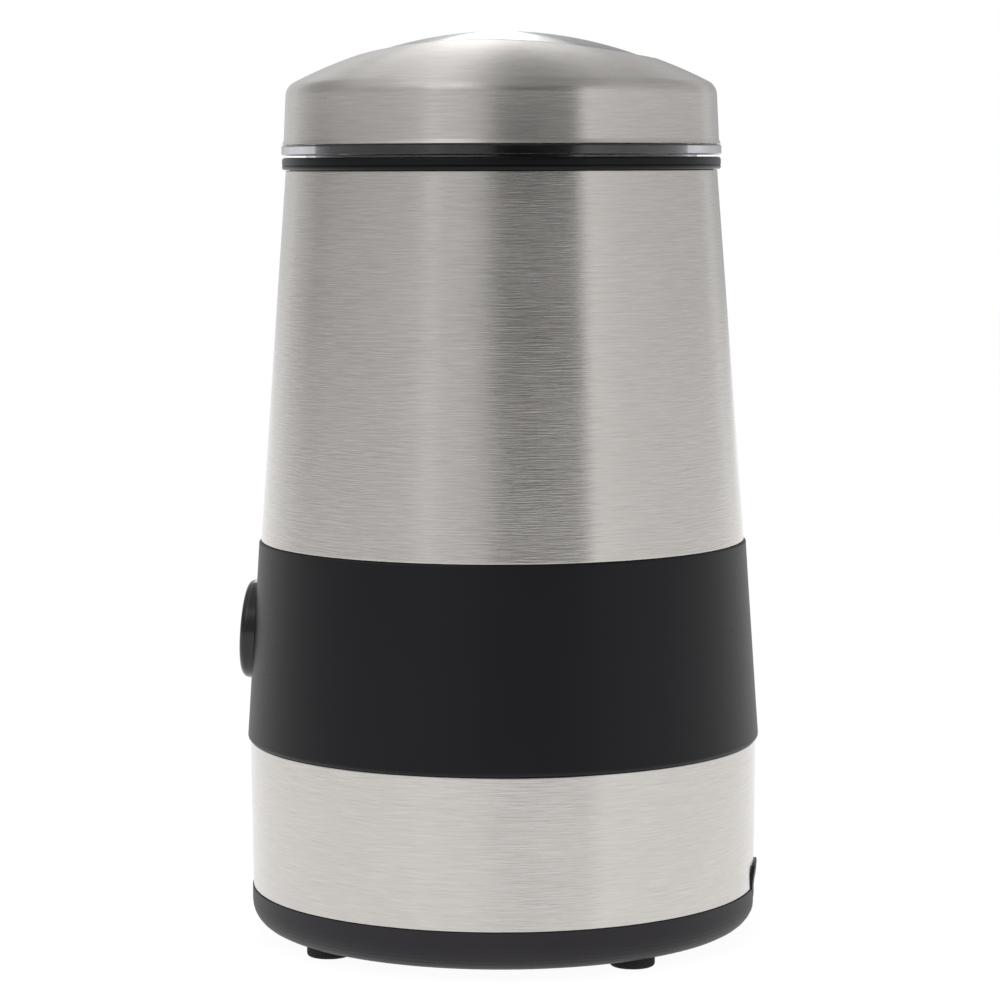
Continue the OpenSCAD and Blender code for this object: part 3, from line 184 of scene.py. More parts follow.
def makePanels(tree, values):
    # what the metal shows: panels that run up from the front, overhead and down to the back
    place = addNode(tree, "ShaderNodeTexCoord")
    counted = addNode(tree, "ShaderNodeVectorRotate", {
        "rotation_type": "Z_AXIS", "Angle": -math.radians(values["front"])
    }, {"Vector": place.outputs["Generated"]})
    axes = addNode(tree, "ShaderNodeSeparateXYZ", {}, {0: counted.outputs[0]})
    ahead = addNode(tree, "ShaderNodeMath", {"operation": "ADD", 1: 1.0}, {0: axes.outputs["X"]})
    half = addNode(tree, "ShaderNodeMath", {"operation": "ARCTAN2"},
                   {0: axes.outputs["Y"], 1: ahead.outputs[0]})
    share = addNode(tree, "ShaderNodeMapRange", between((-math.pi / 2, math.pi / 2)), {0: half.outputs[0]})
    ramps = {}
    for name in ("horizon", "above", "wall"):
        ramps[name] = addNode(tree, "ShaderNodeValToRGB", {}, {0: share.outputs[0]})
        fillRamp(ramps[name], values[name])
    rise = addNode(tree, "ShaderNodeMapRange", between(values["blend"], smoothly), {0: axes.outputs["Z"]})
    panels = addNode(tree, "ShaderNodeMix", {"data_type": "RGBA"}, {
        0: rise.outputs[0], 6: ramps["horizon"].outputs[0], 7: ramps["above"].outputs[0]
    })
    lowDown = addNode(tree, "ShaderNodeMapRange", between(values["wallTop"], smoothly),
                      {0: axes.outputs["Z"]})
    behind = addNode(tree, "ShaderNodeMapRange", between(values["wallStart"], smoothly),
                     {0: axes.outputs["X"]})
    wallShare = addNode(tree, "ShaderNodeMath", {"operation": "MULTIPLY"},
                        {0: lowDown.outputs[0], 1: behind.outputs[0]})
    walled = addNode(tree, "ShaderNodeMix", {"data_type": "RGBA"},
                     {0: wallShare.outputs[0], 6: panels.outputs[2], 7: ramps["wall"].outputs[0]})
    box = values["softBox"]
    turn, up = math.radians(box["turn"]), math.radians(box["rise"])
    boxWay = (math.cos(turn) * math.cos(up), math.sin(turn) * math.cos(up), math.sin(up))
    near = addNode(tree, "ShaderNodeVectorMath", {"operation": "DOT_PRODUCT", 1: boxWay},
                   {0: counted.outputs[0]})
    edges = [math.cos(math.radians(wide)) for wide in box["wide"]]
    glow = addNode(tree, "ShaderNodeMapRange", between(edges, {**smoothly, "To Max": box["strength"]}),
                   {0: near.outputs["Value"]})
    return addNode(tree, "ShaderNodeMix", {"data_type": "RGBA", "blend_type": "ADD", 0: 1.0},
                   {6: walled.outputs[2], 7: glow.outputs[0]})


def makeWorld(values):
    # white behind the object; metal shows the studio's panels; matt surfaces get a plain soft light
    world = bpy.data.worlds.new("studio")
    bpy.context.scene.world = world
    world.use_nodes = True
    tree = world.node_tree
    tree.nodes.clear()
    lit = makePanels(tree, values)
    path = addNode(tree, "ShaderNodeLightPath")
    clear = addNode(tree, "ShaderNodeMath", {"operation": "MAXIMUM"},
                    {0: path.outputs["Is Camera Ray"], 1: path.outputs["Is Transmission Ray"]})
    dim = values["diffuseStrength"]
    plain = addNode(tree, "ShaderNodeMix", {"data_type": "RGBA", 6: (dim, dim, dim, 1), 7: (1, 1, 1, 1)},
                    {0: clear.outputs[0]})
    final = addNode(tree, "ShaderNodeMix", {"data_type": "RGBA"},
                    {0: path.outputs["Is Glossy Ray"], 6: plain.outputs[2], 7: lit.outputs[2]})
    back = addNode(tree, "ShaderNodeBackground", {"Strength": 1.0}, {"Color": final.outputs[2]})
    addNode(tree, "ShaderNodeOutputWorld", {}, {"Surface": back.outputs[0]})


makeWorld(worldSet)

floorSet = {
    "width": 6.0,            # metres
    "colour": "#F1F1F0",
    "whiteShare": 0.93,      # how much of the camera's view of it is plain white
    "mirroredShare": 1.0,    # the same in reflections and through clear parts
    "whiteStrength": 1.03,
}


def makeFloor(values):
    # pale matt floor that the camera sees as white, with the object's shadow left in it
    half = values["width"] / 2
    corners = [(-half, -half, 0), (half, -half, 0), (half, half, 0), (-half, half, 0)]
    mesh = bpy.data.meshes.new("floor")
    mesh.from_pydata(corners, [], [(0, 1, 2, 3)])
    floor = bpy.data.objects.new("floor", mesh)
    bpy.context.scene.collection.objects.link(floor)
    material = bpy.data.materials.new("paleFloor")
    material.use_nodes = True
    tree = material.node_tree
    tree.nodes.clear()
    path = addNode(tree, "ShaderNodeLightPath")
    matt = addNode(tree, "ShaderNodeBsdfDiffuse", {"Color": toLinear(values["colour"])})
    white = addNode(tree, "ShaderNodeEmission",
                    {"Color": toLinear("#FFFFFF"), "Strength": values["whiteStrength"]})
    seen = addNode(tree, "ShaderNodeMath", {"operation": "MULTIPLY", 1: values["whiteShare"]},
                   {0: path.outputs["Is Camera Ray"]})
    mirrored = addNode(tree, "ShaderNodeMath", {"operation": "MAXIMUM"},
                       {0: path.outputs["Is Glossy Ray"], 1: path.outputs["Is Transmission Ray"]})
    share = addNode(tree, "ShaderNodeMath", {"operation": "MULTIPLY_ADD", 1: values["mirroredShare"]},
                    {0: mirrored.outputs[0], 2: seen.outputs[0]})
    mix = addNode(tree, "ShaderNodeMixShader", {},
                  {0: share.outputs[0], 1: matt.outputs[0], 2: white.outputs[0]})
    addNode(tree, "ShaderNodeOutputMaterial", {}, {"Surface": mix.outputs[0]})
    mesh.materials.append(material)


makeFloor(floorSet)
print("light and floor made")

# ---- finishes

noiseSpan = (0.3, 0.7)    # nearly all values of a noise lie between these


def startMaterial(name, settings):
    # a principled surface with its plain settings
    material = bpy.data.materials.new(name)
    material.use_nodes = True
    tree = material.node_tree
    tree.nodes.clear()
    surface = addNode(tree, "ShaderNodeBsdfPrincipled", settings)
    addNode(tree, "ShaderNodeOutputMaterial", {}, {"Surface": surface.outputs[0]})
    return material, tree, surface


def layCoat(tree, surface, values, tone, grain, relief, roughSpread):
    # tone mixes the two colours, grain varies the roughness, relief is the height of the bump
    colour = addNode(tree, "ShaderNodeMix", {
        "data_type": "RGBA", 6: toLinear(values["colour"]), 7: toLinear(values["paleColour"])
    }, {0: tone})
    rough = addNode(tree, "ShaderNodeMapRange", {
        "To Min": values["roughness"] - roughSpread, "To Max": values["roughness"] + roughSpread
    }, {0: grain})
    bump = addNode(tree, "ShaderNodeBump", {
        "Strength": values["bumpStrength"], "Distance": values["bumpDepth"] * mm
    }, {"Height": relief})
    tree.links.new(colour.outputs[2], surface.inputs["Base Color"])
    tree.links.new(rough.outputs[0], surface.inputs["Roughness"])
    tree.links.new(bump.outputs[0], surface.inputs["Normal"])


def brushedSteel(name, values):
    # stainless sheet brushed round the axis: short fine lines, so highlights stretch up and down
    material, tree, surface = startMaterial(name, {
        "Metallic": 1.0,
        "Roughness": values["roughness"],
        "Anisotropic": values["anisotropy"],
        "Anisotropic Rotation": values["quarterTurn"],
    })
    around = addNode(tree, "ShaderNodeTangent", {"direction_type": "RADIAL", "axis": "Z"})
    tree.links.new(around.outputs[0], surface.inputs["Tangent"])
    place = addNode(tree, "ShaderNodeTexCoord")
    axes = addNode(tree, "ShaderNodeSeparateXYZ", {}, {0: place.outputs["Object"]})
    along = addNode(tree, "ShaderNodeAttribute", {"attribute_name": "alongProfile"})
    stretched = addNode(tree, "ShaderNodeCombineXYZ")
    for axis, source, size in (
        ("X", axes.outputs["X"], values["lineLength"]),
        ("Y", axes.outputs["Y"], values["lineLength"]),
        ("Z", along.outputs["Fac"], values["lineWidth"]),
    ):
        part = addNode(tree, "ShaderNodeMath", {"operation": "MULTIPLY", 1: 1 / (size * mm)}, {0: source})
        tree.links.new(part.outputs[0], stretched.inputs[axis])
    lines = addNode(tree, "ShaderNodeTexNoise", {
        "Scale": 1.0, "Detail": values["lineDetail"], "Roughness": values["lineBreakup"]
    }, {"Vector": stretched.outputs[0]})
    patches = addNode(tree, "ShaderNodeTexNoise", {
        "Scale": 1 / (values["patch"] * mm), "Detail": values["patchDetail"]
    }, {"Vector": place.outputs["Object"]})
    tone = addNode(tree, "ShaderNodeMapRange", between(values["lineSpan"]), {0: lines.outputs[0]})
    cloud = addNode(tree, "ShaderNodeMapRange", between(noiseSpan), {0: patches.outputs[0]})
    layCoat(tree, surface, values, tone.outputs[0], cloud.outputs[0], lines.outputs[0], values["roughSpread"])
    return material


def mouldedPlastic(name, values):
    # injection moulded or pressed part: fine tool grain, slow change of tone
    material, tree, surface = startMaterial(name, {
        "Roughness": values["roughness"],
        "IOR": values["ior"],
        "Specular IOR Level": values["shine"],
        "Subsurface Weight": values["glow"],
        "Subsurface Scale": values["glowDepth"] * mm,
    })
    place = addNode(tree, "ShaderNodeTexCoord")
    grain = addNode(tree, "ShaderNodeTexNoise", {
        "Scale": 1 / (values["grain"] * mm), "Detail": values["grainDetail"]
    }, {"Vector": place.outputs["Object"]})
    slow = addNode(tree, "ShaderNodeTexNoise", {
        "Scale": 1 / (values["patch"] * mm), "Detail": values["patchDetail"]
    }, {"Vector": place.outputs["Object"]})
    tone = addNode(tree, "ShaderNodeMapRange", between(noiseSpan), {0: slow.outputs[0]})
    fine = addNode(tree, "ShaderNodeMapRange", between(noiseSpan), {0: grain.outputs[0]})
    layCoat(tree, surface, values, tone.outputs[0], fine.outputs[0], grain.outputs[0],
            values["roughness"] * values["roughShare"])
    return material


def workedMetal(name, values):
    # turned, plated, sintered or pressed metal: bands or grains in colour, roughness and depth
    material, tree, surface = startMaterial(name, {"Metallic": 1.0})
    place = addNode(tree, "ShaderNodeTexCoord")
    grain = addNode(tree, "ShaderNodeTexNoise", {
        "Scale": 1 / (values["grain"] * mm), "Detail": values["grainDetail"]
    }, {"Vector": place.outputs["Object"]})
    pattern = grain
    if values["bands"]:
        # lines at a real spacing along Z, as in laminations and wound wire
        pattern = addNode(tree, "ShaderNodeTexWave", {
            "wave_type": "BANDS", "bands_direction": "Z", "wave_profile": "SIN",
            "Scale": 1 / (values["bands"] * mm) / values["wavesPerUnit"],
            "Distortion": values["bandWander"], "Detail": values["bandDetail"],
        }, {"Vector": place.outputs["Object"]})
    layCoat(tree, surface, values, pattern.outputs["Fac"], grain.outputs["Fac"], pattern.outputs["Fac"],
            values["roughness"] * values["roughShare"])
    return material


def clearMoulding(name, values):
    # clear SAN: water clear with a slight violet tone, polished, with faint flow marks
    material, tree, surface = startMaterial(name, {
        "Base Color": toLinear(values["colour"]),
        "Roughness": values["roughness"],
        "IOR": values["ior"],
        "Transmission Weight": 1.0,
    })
    place = addNode(tree, "ShaderNodeTexCoord")
    flow = addNode(tree, "ShaderNodeTexNoise", {
        "Scale": 1 / (values["flow"] * mm), "Detail": values["flowDetail"]
    }, {"Vector": place.outputs["Object"]})
    bump = addNode(tree, "ShaderNodeBump", {
        "Strength": values["bumpStrength"], "Distance": values["bumpDepth"] * mm
    }, {"Height": flow.outputs[0]})
    tree.links.new(bump.outputs[0], surface.inputs["Normal"])
    return material


# lengths, widths, grains, patches and depths in the sets below are in mm
sheetSet = {
    "colour": "#C7C3BF", "paleColour": "#D5D1CD", "roughness": 0.2, "roughSpread": 0.02,
    "anisotropy": 0.95, "quarterTurn": 0.25,    # highlights stretch across the lines, not along them
    "lineLength": 6.0, "lineWidth": 0.24, "lineDetail": 3.0, "lineBreakup": 0.6, "lineSpan": (0.25, 0.75),
    "patch": 16.7, "patchDetail": 2.0, "bumpStrength": 0.8, "bumpDepth": 0.045,
}

brushedSets = {
    # rolled and seamed sleeves
    "brushedSheet": sheetSet,
    # the pressed cover is brushed on the lathe, a little coarser than the sleeves
    "brushedCover": dict(sheetSet, roughness=0.26, bumpStrength=0.6),
    # spun bowl, polished after brushing: rounder highlights, hardly any depth
    "spunBowlSteel": dict(sheetSet, colour="#C6C3C0", paleColour="#DAD7D4", anisotropy=0.6,
                          bumpStrength=0.15, bumpDepth=0.006),
}

plasticBase = {
    "ior": 1.5, "shine": 0.5, "glow": 0.0, "glowDepth": 0.0, "roughShare": 0.08, "grainDetail": 2.0,
    "patchDetail": 3.0,
}

plasticSets = {
    # satin ABS with a fine spark-eroded grain
    "satinAbs": {"colour": "#0A090F", "paleColour": "#0D0C12", "roughness": 0.42, "grain": 0.35, "patch": 30,
                 "bumpStrength": 0.25, "bumpDepth": 0.02, "shine": 0.25},
    # the collar's ABS, darker and smoother than the belt
    "collarAbs": {"colour": "#070708", "paleColour": "#09090A", "roughness": 0.3, "grain": 0.6, "patch": 20,
                  "bumpStrength": 0.1, "bumpDepth": 0.01, "shine": 0.2},
    # glass-filled polypropylene, a little browner and more matt than the belt
    "mattPolypropylene": {"colour": "#1D1A1E", "paleColour": "#232025", "roughness": 0.5, "grain": 0.4,
                          "patch": 24, "bumpStrength": 0.3, "bumpDepth": 0.03, "shine": 0.32},
    # polished ABS: flat gloss, hardly any grain
    "glossAbs": {"colour": "#121214", "paleColour": "#151517", "roughness": 0.16, "grain": 1.2, "patch": 12,
                 "bumpStrength": 0.04, "bumpDepth": 0.01},
    # natural rubber compound, dull and slightly dusty
    "footRubber": {"colour": "#131315", "paleColour": "#1C1C1E", "roughness": 0.85, "grain": 0.25, "patch": 5,
                   "bumpStrength": 0.5, "bumpDepth": 0.03, "ior": 1.52},
    # softer rubber of the motor mounts and shaft seal
    "softRubber": {"colour": "#1E1E20", "paleColour": "#262628", "roughness": 0.7, "grain": 0.4, "patch": 8,
                   "bumpStrength": 0.3, "bumpDepth": 0.03, "ior": 1.52},
    # black silicone: even, soft sheen
    "siliconeRubber": {"colour": "#0A0A0B", "paleColour": "#0D0D0E", "roughness": 0.48, "grain": 0.8,
                       "patch": 15, "bumpStrength": 0.1, "bumpDepth": 0.02, "ior": 1.41},
    # PBT with glass fibre: pale flecks in a dark grey skin
    "filledPbt": {"colour": "#232427", "paleColour": "#303136", "roughness": 0.5, "grain": 0.5, "patch": 3,
                  "bumpStrength": 0.3, "bumpDepth": 0.02},
    # acetal: white, slightly waxy, lets a little light in
    "whiteAcetal": {"colour": "#E4E2DB", "paleColour": "#ECEAE4", "roughness": 0.32, "grain": 0.8,
                    "patch": 18, "bumpStrength": 0.08, "bumpDepth": 0.01, "ior": 1.48, "glow": 0.15,
                    "glowDepth": 1.5},
    # polyamide fan, natural colour
    "naturalPolyamide": {"colour": "#CFCBBE", "paleColour": "#DAD6CA", "roughness": 0.4, "grain": 0.6,
                         "patch": 14, "bumpStrength": 0.1, "bumpDepth": 0.02, "ior": 1.53, "glow": 0.1,
                         "glowDepth": 1.0},
    # phenolic switch case: dark, dense, slightly shiny
    "phenolicCase": {"colour": "#222226", "paleColour": "#2A2A2F", "roughness": 0.35, "grain": 0.5,
                     "patch": 6, "bumpStrength": 0.15, "bumpDepth": 0.02},
    # red moulded plunger
    "redPolyamide": {"colour": "#A81C1A", "paleColour": "#B82422", "roughness": 0.35, "grain": 0.4,
                     "patch": 4, "bumpStrength": 0.1, "bumpDepth": 0.01},
    # electrographite: sooty, with fine pores
    "electrographite": {"colour": "#1D1D1F", "paleColour": "#333335", "roughness": 0.65, "grain": 0.15,
                        "patch": 2, "bumpStrength": 0.4, "bumpDepth": 0.02},
}

metalBase = {
    "bands": None, "roughShare": 0.2, "grainDetail": 3.0, "bandWander": 0.4, "bandDetail": 1.0,
    "wavesPerUnit": 3.2,    # bands that the wave texture draws in one unit at a scale of 1
}

metalSets = {
    # bright zinc plate: bluish, cloudy
    "zincPlate": {"colour": "#9EA3A8", "paleColour": "#B9BDC1", "roughness": 0.32, "grain": 1.5,
                  "bumpStrength": 0.1, "bumpDepth": 0.01},
    # electrical sheet, 0.5 mm laminations drawn 1 mm apart so that they show
    "laminatedIron": {"colour": "#5A5C60", "paleColour": "#7D8085", "roughness": 0.45, "grain": 0.6,
                      "bands": 1.0, "bumpStrength": 0.5, "bumpDepth": 0.08},
    # enamelled winding wire, one turn each 0.6 mm
    "enamelledWire": {"colour": "#8A4A26", "paleColour": "#C77B45", "roughness": 0.28, "grain": 2.0,
                      "bands": 0.6, "bumpStrength": 0.8, "bumpDepth": 0.2},
    # drawn copper bars, worn bright by the brushes
    "drawnCopper": {"colour": "#B8693C", "paleColour": "#CC7F50", "roughness": 0.3, "grain": 0.5,
                    "bumpStrength": 0.2, "bumpDepth": 0.01},
    # sintered bronze, porous
    "sinteredBronze": {"colour": "#A07A45", "paleColour": "#B8925A", "roughness": 0.42, "grain": 0.3,
                       "bumpStrength": 0.4, "bumpDepth": 0.03},
    # ground and hardened stainless blade
    "groundSteel": {"colour": "#BEBBB7", "paleColour": "#D5D2CE", "roughness": 0.24, "grain": 0.5,
                    "bumpStrength": 0.2, "bumpDepth": 0.01},
}

clearSet = {
    "colour": "#F3F1F9", "roughness": 0.02, "ior": 1.57, "flow": 14, "flowDetail": 1.0,
    "bumpStrength": 0.04, "bumpDepth": 0.05,
}

finishes = {name: mouldedPlastic(name, {**plasticBase, **values}) for name, values in plasticSets.items()}
finishes.update({name: workedMetal(name, {**metalBase, **values}) for name, values in metalSets.items()})
finishes.update({name: brushedSteel(name, values) for name, values in brushedSets.items()})
finishes["clearSan"] = clearMoulding("clearSan", clearSet)

slotFinishes = {
    "brushed_steel": "brushedSheet", "bowl_steel": "spunBowlSteel", "black_plastic": "satinAbs",
    "base_plastic": "mattPolypropylene", "button_plastic": "glossAbs", "clear_plastic": "clearSan",
    "foot_rubber": "footRubber", "mount_rubber": "softRubber", "seal_silicone": "siliconeRubber",
    "zinc_steel": "zincPlate", "motor_iron": "laminatedIron", "copper": "enamelledWire",
    "bronze": "sinteredBronze", "carbon": "electrographite", "frame_plastic": "filledPbt",
    "white_acetal": "whiteAcetal", "fan_plastic": "naturalPolyamide", "switch_plastic": "phenolicCase",
    "red_plastic": "redPolyamide", "blade_steel": "groundSteel",
}
for node in nodes.values():
    for place in node.material_slots:
        slotName = place.material.name.split(".")[0]
        if slotName in slotFinishes:
            place.material = finishes[slotFinishes[slotName]]
        else:
            print("no finish for", node.name, slotName)
for nodeName, finish in {"commutator": "drawnCopper", "top_collar": "collarAbs"}.items():
    for place in nodes[nodeName].material_slots:
        place.material = finishes[finish]
print("finishes made:", len(finishes))

# ---- turned pieces

weldReach = 1e-6       # metres, corners this close are one
sliverLength = 1e-7    # metres, shorter edges are dropped


def radiiAt(name, height, reach=0.02):
    # least and greatest radius of a CAD node at a height, in mm
    level = [v.co for v in nodes[name].data.vertices if abs(v.co.z / mm - height) < reach]
    found = [math.hypot(spot.x, spot.y) / mm for spot in level]
    return min(found), max(found)


def heightsOf(name):
    # lowest and highest point of a CAD node, in mm
    low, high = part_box(name)
    return low[2] / mm, high[2] / mm


def roundCorners(corners, steps=5, guard=0.25, room=3, closed=True):
    # outline in mm from corners (radius, height, rounding); a point beside each rounding keeps long
    # flats flat, where the flat has that much room for it
    points = []
    count = len(corners)
    for i, (x, y, rounding) in enumerate(corners):
        here = Vector((x, y))
        back = Vector(corners[i - 1][:2]) - here
        ahead = Vector(corners[(i + 1) % count][:2]) - here
        if rounding == 0:
            points.append(here)
            continue
        half = back.angle(ahead) / 2
        cut = rounding / math.tan(half)
        start = here + back.normalized() * cut
        end = here + ahead.normalized() * cut
        middle = here + (back.normalized() + ahead.normalized()).normalized() * (rounding / math.sin(half))
        if back.length > room * (cut + guard):
            points.append(start + back.normalized() * guard)
        a, b = start - middle, end - middle
        sweep = math.pi - 2 * half
        for step in range(steps + 1):
            share = step / steps
            arm = a * math.sin((1 - share) * sweep) + b * math.sin(share * sweep)
            points.append(middle + arm / math.sin(sweep))
        if ahead.length > room * (cut + guard):
            points.append(end + ahead.normalized() * guard)
    return points + [points[0]] if closed else points


def makeTurnTree():
    # turns an outline round the middle axis: outline points hold the radius in x and the height in z
    tree = bpy.data.node_groups.new("turnedPiece", "GeometryNodeTree")
    for name, kind in (("Outline", "Geometry"), ("Segments", "Int"), ("Material", "Material")):
        tree.interface.new_socket(name, in_out="INPUT", socket_type="NodeSocket" + kind)
    tree.interface.new_socket("Geometry", in_out="OUTPUT", socket_type="NodeSocketGeometry")
    given = addNode(tree, "NodeGroupInput")
    outline, segments = given.outputs["Outline"], given.outputs["Segments"]
    size = addNode(tree, "GeometryNodeAttributeDomainSize", {}, {0: outline})
    count = size.outputs["Point Count"]
    columns = addNode(tree, "FunctionNodeIntegerMath", {"operation": "ADD", 1: 1}, {0: segments})
    grid = addNode(tree, "GeometryNodeMeshGrid", {}, {"Vertices X": columns.outputs[0], "Vertices Y": count})
    index = addNode(tree, "GeometryNodeInputIndex")
    column = addNode(tree, "FunctionNodeIntegerMath", {"operation": "DIVIDE_FLOOR"},
                     {0: index.outputs[0], 1: count})
    row = addNode(tree, "FunctionNodeIntegerMath", {"operation": "FLOORED_MODULO"},
                  {0: index.outputs[0], 1: count})
    position = addNode(tree, "GeometryNodeInputPosition")
    point = addNode(tree, "GeometryNodeSampleIndex", {"data_type": "FLOAT_VECTOR"},
                    {"Geometry": outline, "Value": position.outputs[0], "Index": row.outputs[0]})
    along = addNode(tree, "GeometryNodeInputNamedAttribute", {"data_type": "FLOAT", "Name": "alongProfile"})
    length = addNode(tree, "GeometryNodeSampleIndex", {"data_type": "FLOAT"},
                     {"Geometry": outline, "Value": along.outputs[0], "Index": row.outputs[0]})
    share = addNode(tree, "ShaderNodeMath", {"operation": "DIVIDE"}, {0: column.outputs[0], 1: segments})
    turn = addNode(tree, "ShaderNodeMath", {"operation": "MULTIPLY", 1: 2 * math.pi}, {0: share.outputs[0]})
    parts = addNode(tree, "ShaderNodeSeparateXYZ", {}, {0: point.outputs[0]})
    spot = addNode(tree, "ShaderNodeCombineXYZ", {}, {"Z": parts.outputs["Z"]})
    for axis, operation in (("X", "COSINE"), ("Y", "SINE")):
        way = addNode(tree, "ShaderNodeMath", {"operation": operation}, {0: turn.outputs[0]})
        reach = addNode(tree, "ShaderNodeMath", {"operation": "MULTIPLY"},
                        {0: parts.outputs["X"], 1: way.outputs[0]})
        tree.links.new(reach.outputs[0], spot.inputs[axis])
    placed = addNode(tree, "GeometryNodeSetPosition", {},
                     {"Geometry": grid.outputs["Mesh"], "Position": spot.outputs[0]})
    stored = addNode(tree, "GeometryNodeStoreNamedAttribute", {"data_type": "FLOAT", "Name": "alongProfile"},
                     {"Geometry": placed.outputs[0], "Value": length.outputs[0]})
    closed = addNode(tree, "GeometryNodeMergeByDistance", {"Distance": weldReach},
                     {"Geometry": stored.outputs[0]})
    real = addNode(tree, "GeometryNodeRealizeInstances", {}, {0: closed.outputs[0]})
    coated = addNode(tree, "GeometryNodeSetMaterial", {},
                     {"Geometry": real.outputs[0], "Material": given.outputs["Material"]})
    addNode(tree, "NodeGroupOutput", {}, {0: coated.outputs[0]})
    return tree


def applyTree(obj, tree, inputs):
    # runs a node tree on the object and keeps its result as a plain mesh
    modifier = obj.modifiers.new(tree.name, "NODES")
    modifier.node_group = tree
    for socket in tree.interface.items_tree:
        if socket.in_out == "INPUT" and socket.name in inputs:
            modifier[socket.identifier] = inputs[socket.name]
    graph = bpy.context.evaluated_depsgraph_get()
    mesh = bpy.data.meshes.new_from_object(obj.evaluated_get(graph))
    obj.modifiers.clear()
    obj.data = mesh


def closeMesh(mesh, sharpAngle=32):
    # closed shell with its faces outwards; edges past the angle stay crisp
    shell = bmesh.new()
    shell.from_mesh(mesh)
    bmesh.ops.remove_doubles(shell, verts=shell.verts, dist=weldReach)
    bmesh.ops.dissolve_degenerate(shell, edges=shell.edges, dist=sliverLength)
    bmesh.ops.recalc_face_normals(shell, faces=shell.faces)
    shell.to_mesh(mesh)
    shell.free()
    mesh.shade_smooth()
    mesh.set_sharp_from_angle(angle=math.radians(sharpAngle))


def linkPiece(name, mesh):
    # an object in the scene for a finished mesh
    obj = bpy.data.objects.new(name, mesh)
    bpy.context.scene.collection.objects.link(obj)
    return obj


def turned(name, outline, finish, segments):
    # an outline in mm, closed or from axis to axis, to a turned piece about the Z axis
    mesh = bpy.data.meshes.new(name)
    edges = [(i, i + 1) for i in range(len(outline) - 1)]
    mesh.from_pydata([(p.x * mm, 0, p.y * mm) for p in outline], edges, [])
    lengths = mesh.attributes.new("alongProfile", "FLOAT", "POINT")
    total = 0
    for i, point in enumerate(outline):
        total += (point - outline[max(i - 1, 0)]).length * mm
        lengths.data[i].value = total
    obj = linkPiece(name, mesh)
    applyTree(obj, turnTree, {"Segments": segments, "Material": finishes[finish]})
    closeMesh(obj.data)
    return obj


turnTree = makeTurnTree()


def standFor(piece, body, node):
    # the finished piece takes the CAD node's place
    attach(piece, body)
    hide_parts(node)


def cutAway(piece, cutter):
    # takes the cutter's solid out of the piece
    modifier = piece.modifiers.new("cut", "BOOLEAN")
    modifier.object = cutter
    modifier.solver = "EXACT"
    mesh = bpy.data.meshes.new_from_object(piece.evaluated_get(bpy.context.evaluated_depsgraph_get()))
    piece.modifiers.clear()
    piece.data = mesh
    bpy.data.objects.remove(cutter)
    closeMesh(mesh)


def prism(name, outline, low, high):
    # an outline in mm across X and Z, run along Y from low to high
    count = len(outline)
    mesh = bpy.data.meshes.new(name)
    mesh.from_pydata(
        [(x * mm, y * mm, z * mm) for y in (low, high) for x, z in outline], [],
        [[(i + 1) % count, i, i + count, (i + 1) % count + count] for i in range(count)]
        + [list(range(count)), list(range(2 * count - 1, count - 1, -1))]
    )
    closeMesh(mesh)
    return linkPiece(name, mesh)


# ---- sleeves

sleeveSet = {"edgeRounding": 0.2, "segments": 288}


def sleeveOutline(name, rounding):
    # rolled sheet with its cut edges deburred
    low, high = heightsOf(name)
    lowIn, lowOut = radiiAt(name, low)
    highIn, highOut = radiiAt(name, high)
    return roundCorners([
        (lowOut, low, rounding), (highOut, high, rounding), (highIn, high, rounding), (lowIn, low, rounding)
    ])


def rolledSleeve(name, node):
    outline = sleeveOutline(node, sleeveSet["edgeRounding"])
    return turned(name, outline, "brushedSheet", sleeveSet["segments"])


upperSleeve = rolledSleeve("upperSleeve", "upper_sleeve")
standFor(upperSleeve, "body", "upper_sleeve")
lowerSleeve = rolledSleeve("lowerSleeve", "lower_sleeve")

hoodSet = {"width": 13.5, "top": 14.8, "cornerRadius": 2.6, "cornerStep": 10, "near": 45, "far": 60}


def hoodOutline(values):
    # arch with rounded upper corners
    half, rounding = values["width"] / 2, values["cornerRadius"]
    corner = []
    for turn in range(0, 90 + values["cornerStep"], values["cornerStep"]):
        way = math.radians(turn)
        corner.append((
            half - rounding + rounding * math.cos(way), values["top"] - rounding + rounding * math.sin(way)
        ))
    return [(half, 0)] + corner + [(-x, z) for x, z in reversed(corner)] + [(-half, 0)]


cutAway(lowerSleeve, prism("hoodCutter", hoodOutline(hoodSet), hoodSet["near"], hoodSet["far"]))
standFor(lowerSleeve, "body", "lower_sleeve")
print("sleeves made")

# ---- bowl

bowlShape = {
    "sheet": 0.6, "floorRounding": 9, "rimWidth": 2.2, "rimBend": 0.9, "edge": 0.15, "hole": 7,
    "cornerSteps": 10, "segments": 192,
}


def bowlOutline(values):
    # spun sheet: floor, wall and a flat rim bent outwards
    low, high = heightsOf("grinding_bowl")
    sheet, edge, hole = values["sheet"], values["edge"], values["hole"]
    floorRounding, rimBend = values["floorRounding"], values["rimBend"]
    rim = radiiAt("grinding_bowl", high)[1]
    inside = rim - values["rimWidth"] - sheet
    return roundCorners([
        (hole, low + sheet, edge), (inside, low + sheet, floorRounding), (inside, high, rimBend),
        (rim, high, edge), (rim, high - sheet, edge), (inside + sheet, high - sheet, rimBend - sheet),
        (inside + sheet, low, floorRounding + sheet), (hole, low, edge)
    ], steps=values["cornerSteps"])


spunBowl = turned("spunBowl", bowlOutline(bowlShape), "spunBowlSteel", bowlShape["segments"])
standFor(spunBowl, "body", "grinding_bowl")
print("bowl made")

# ---- lid

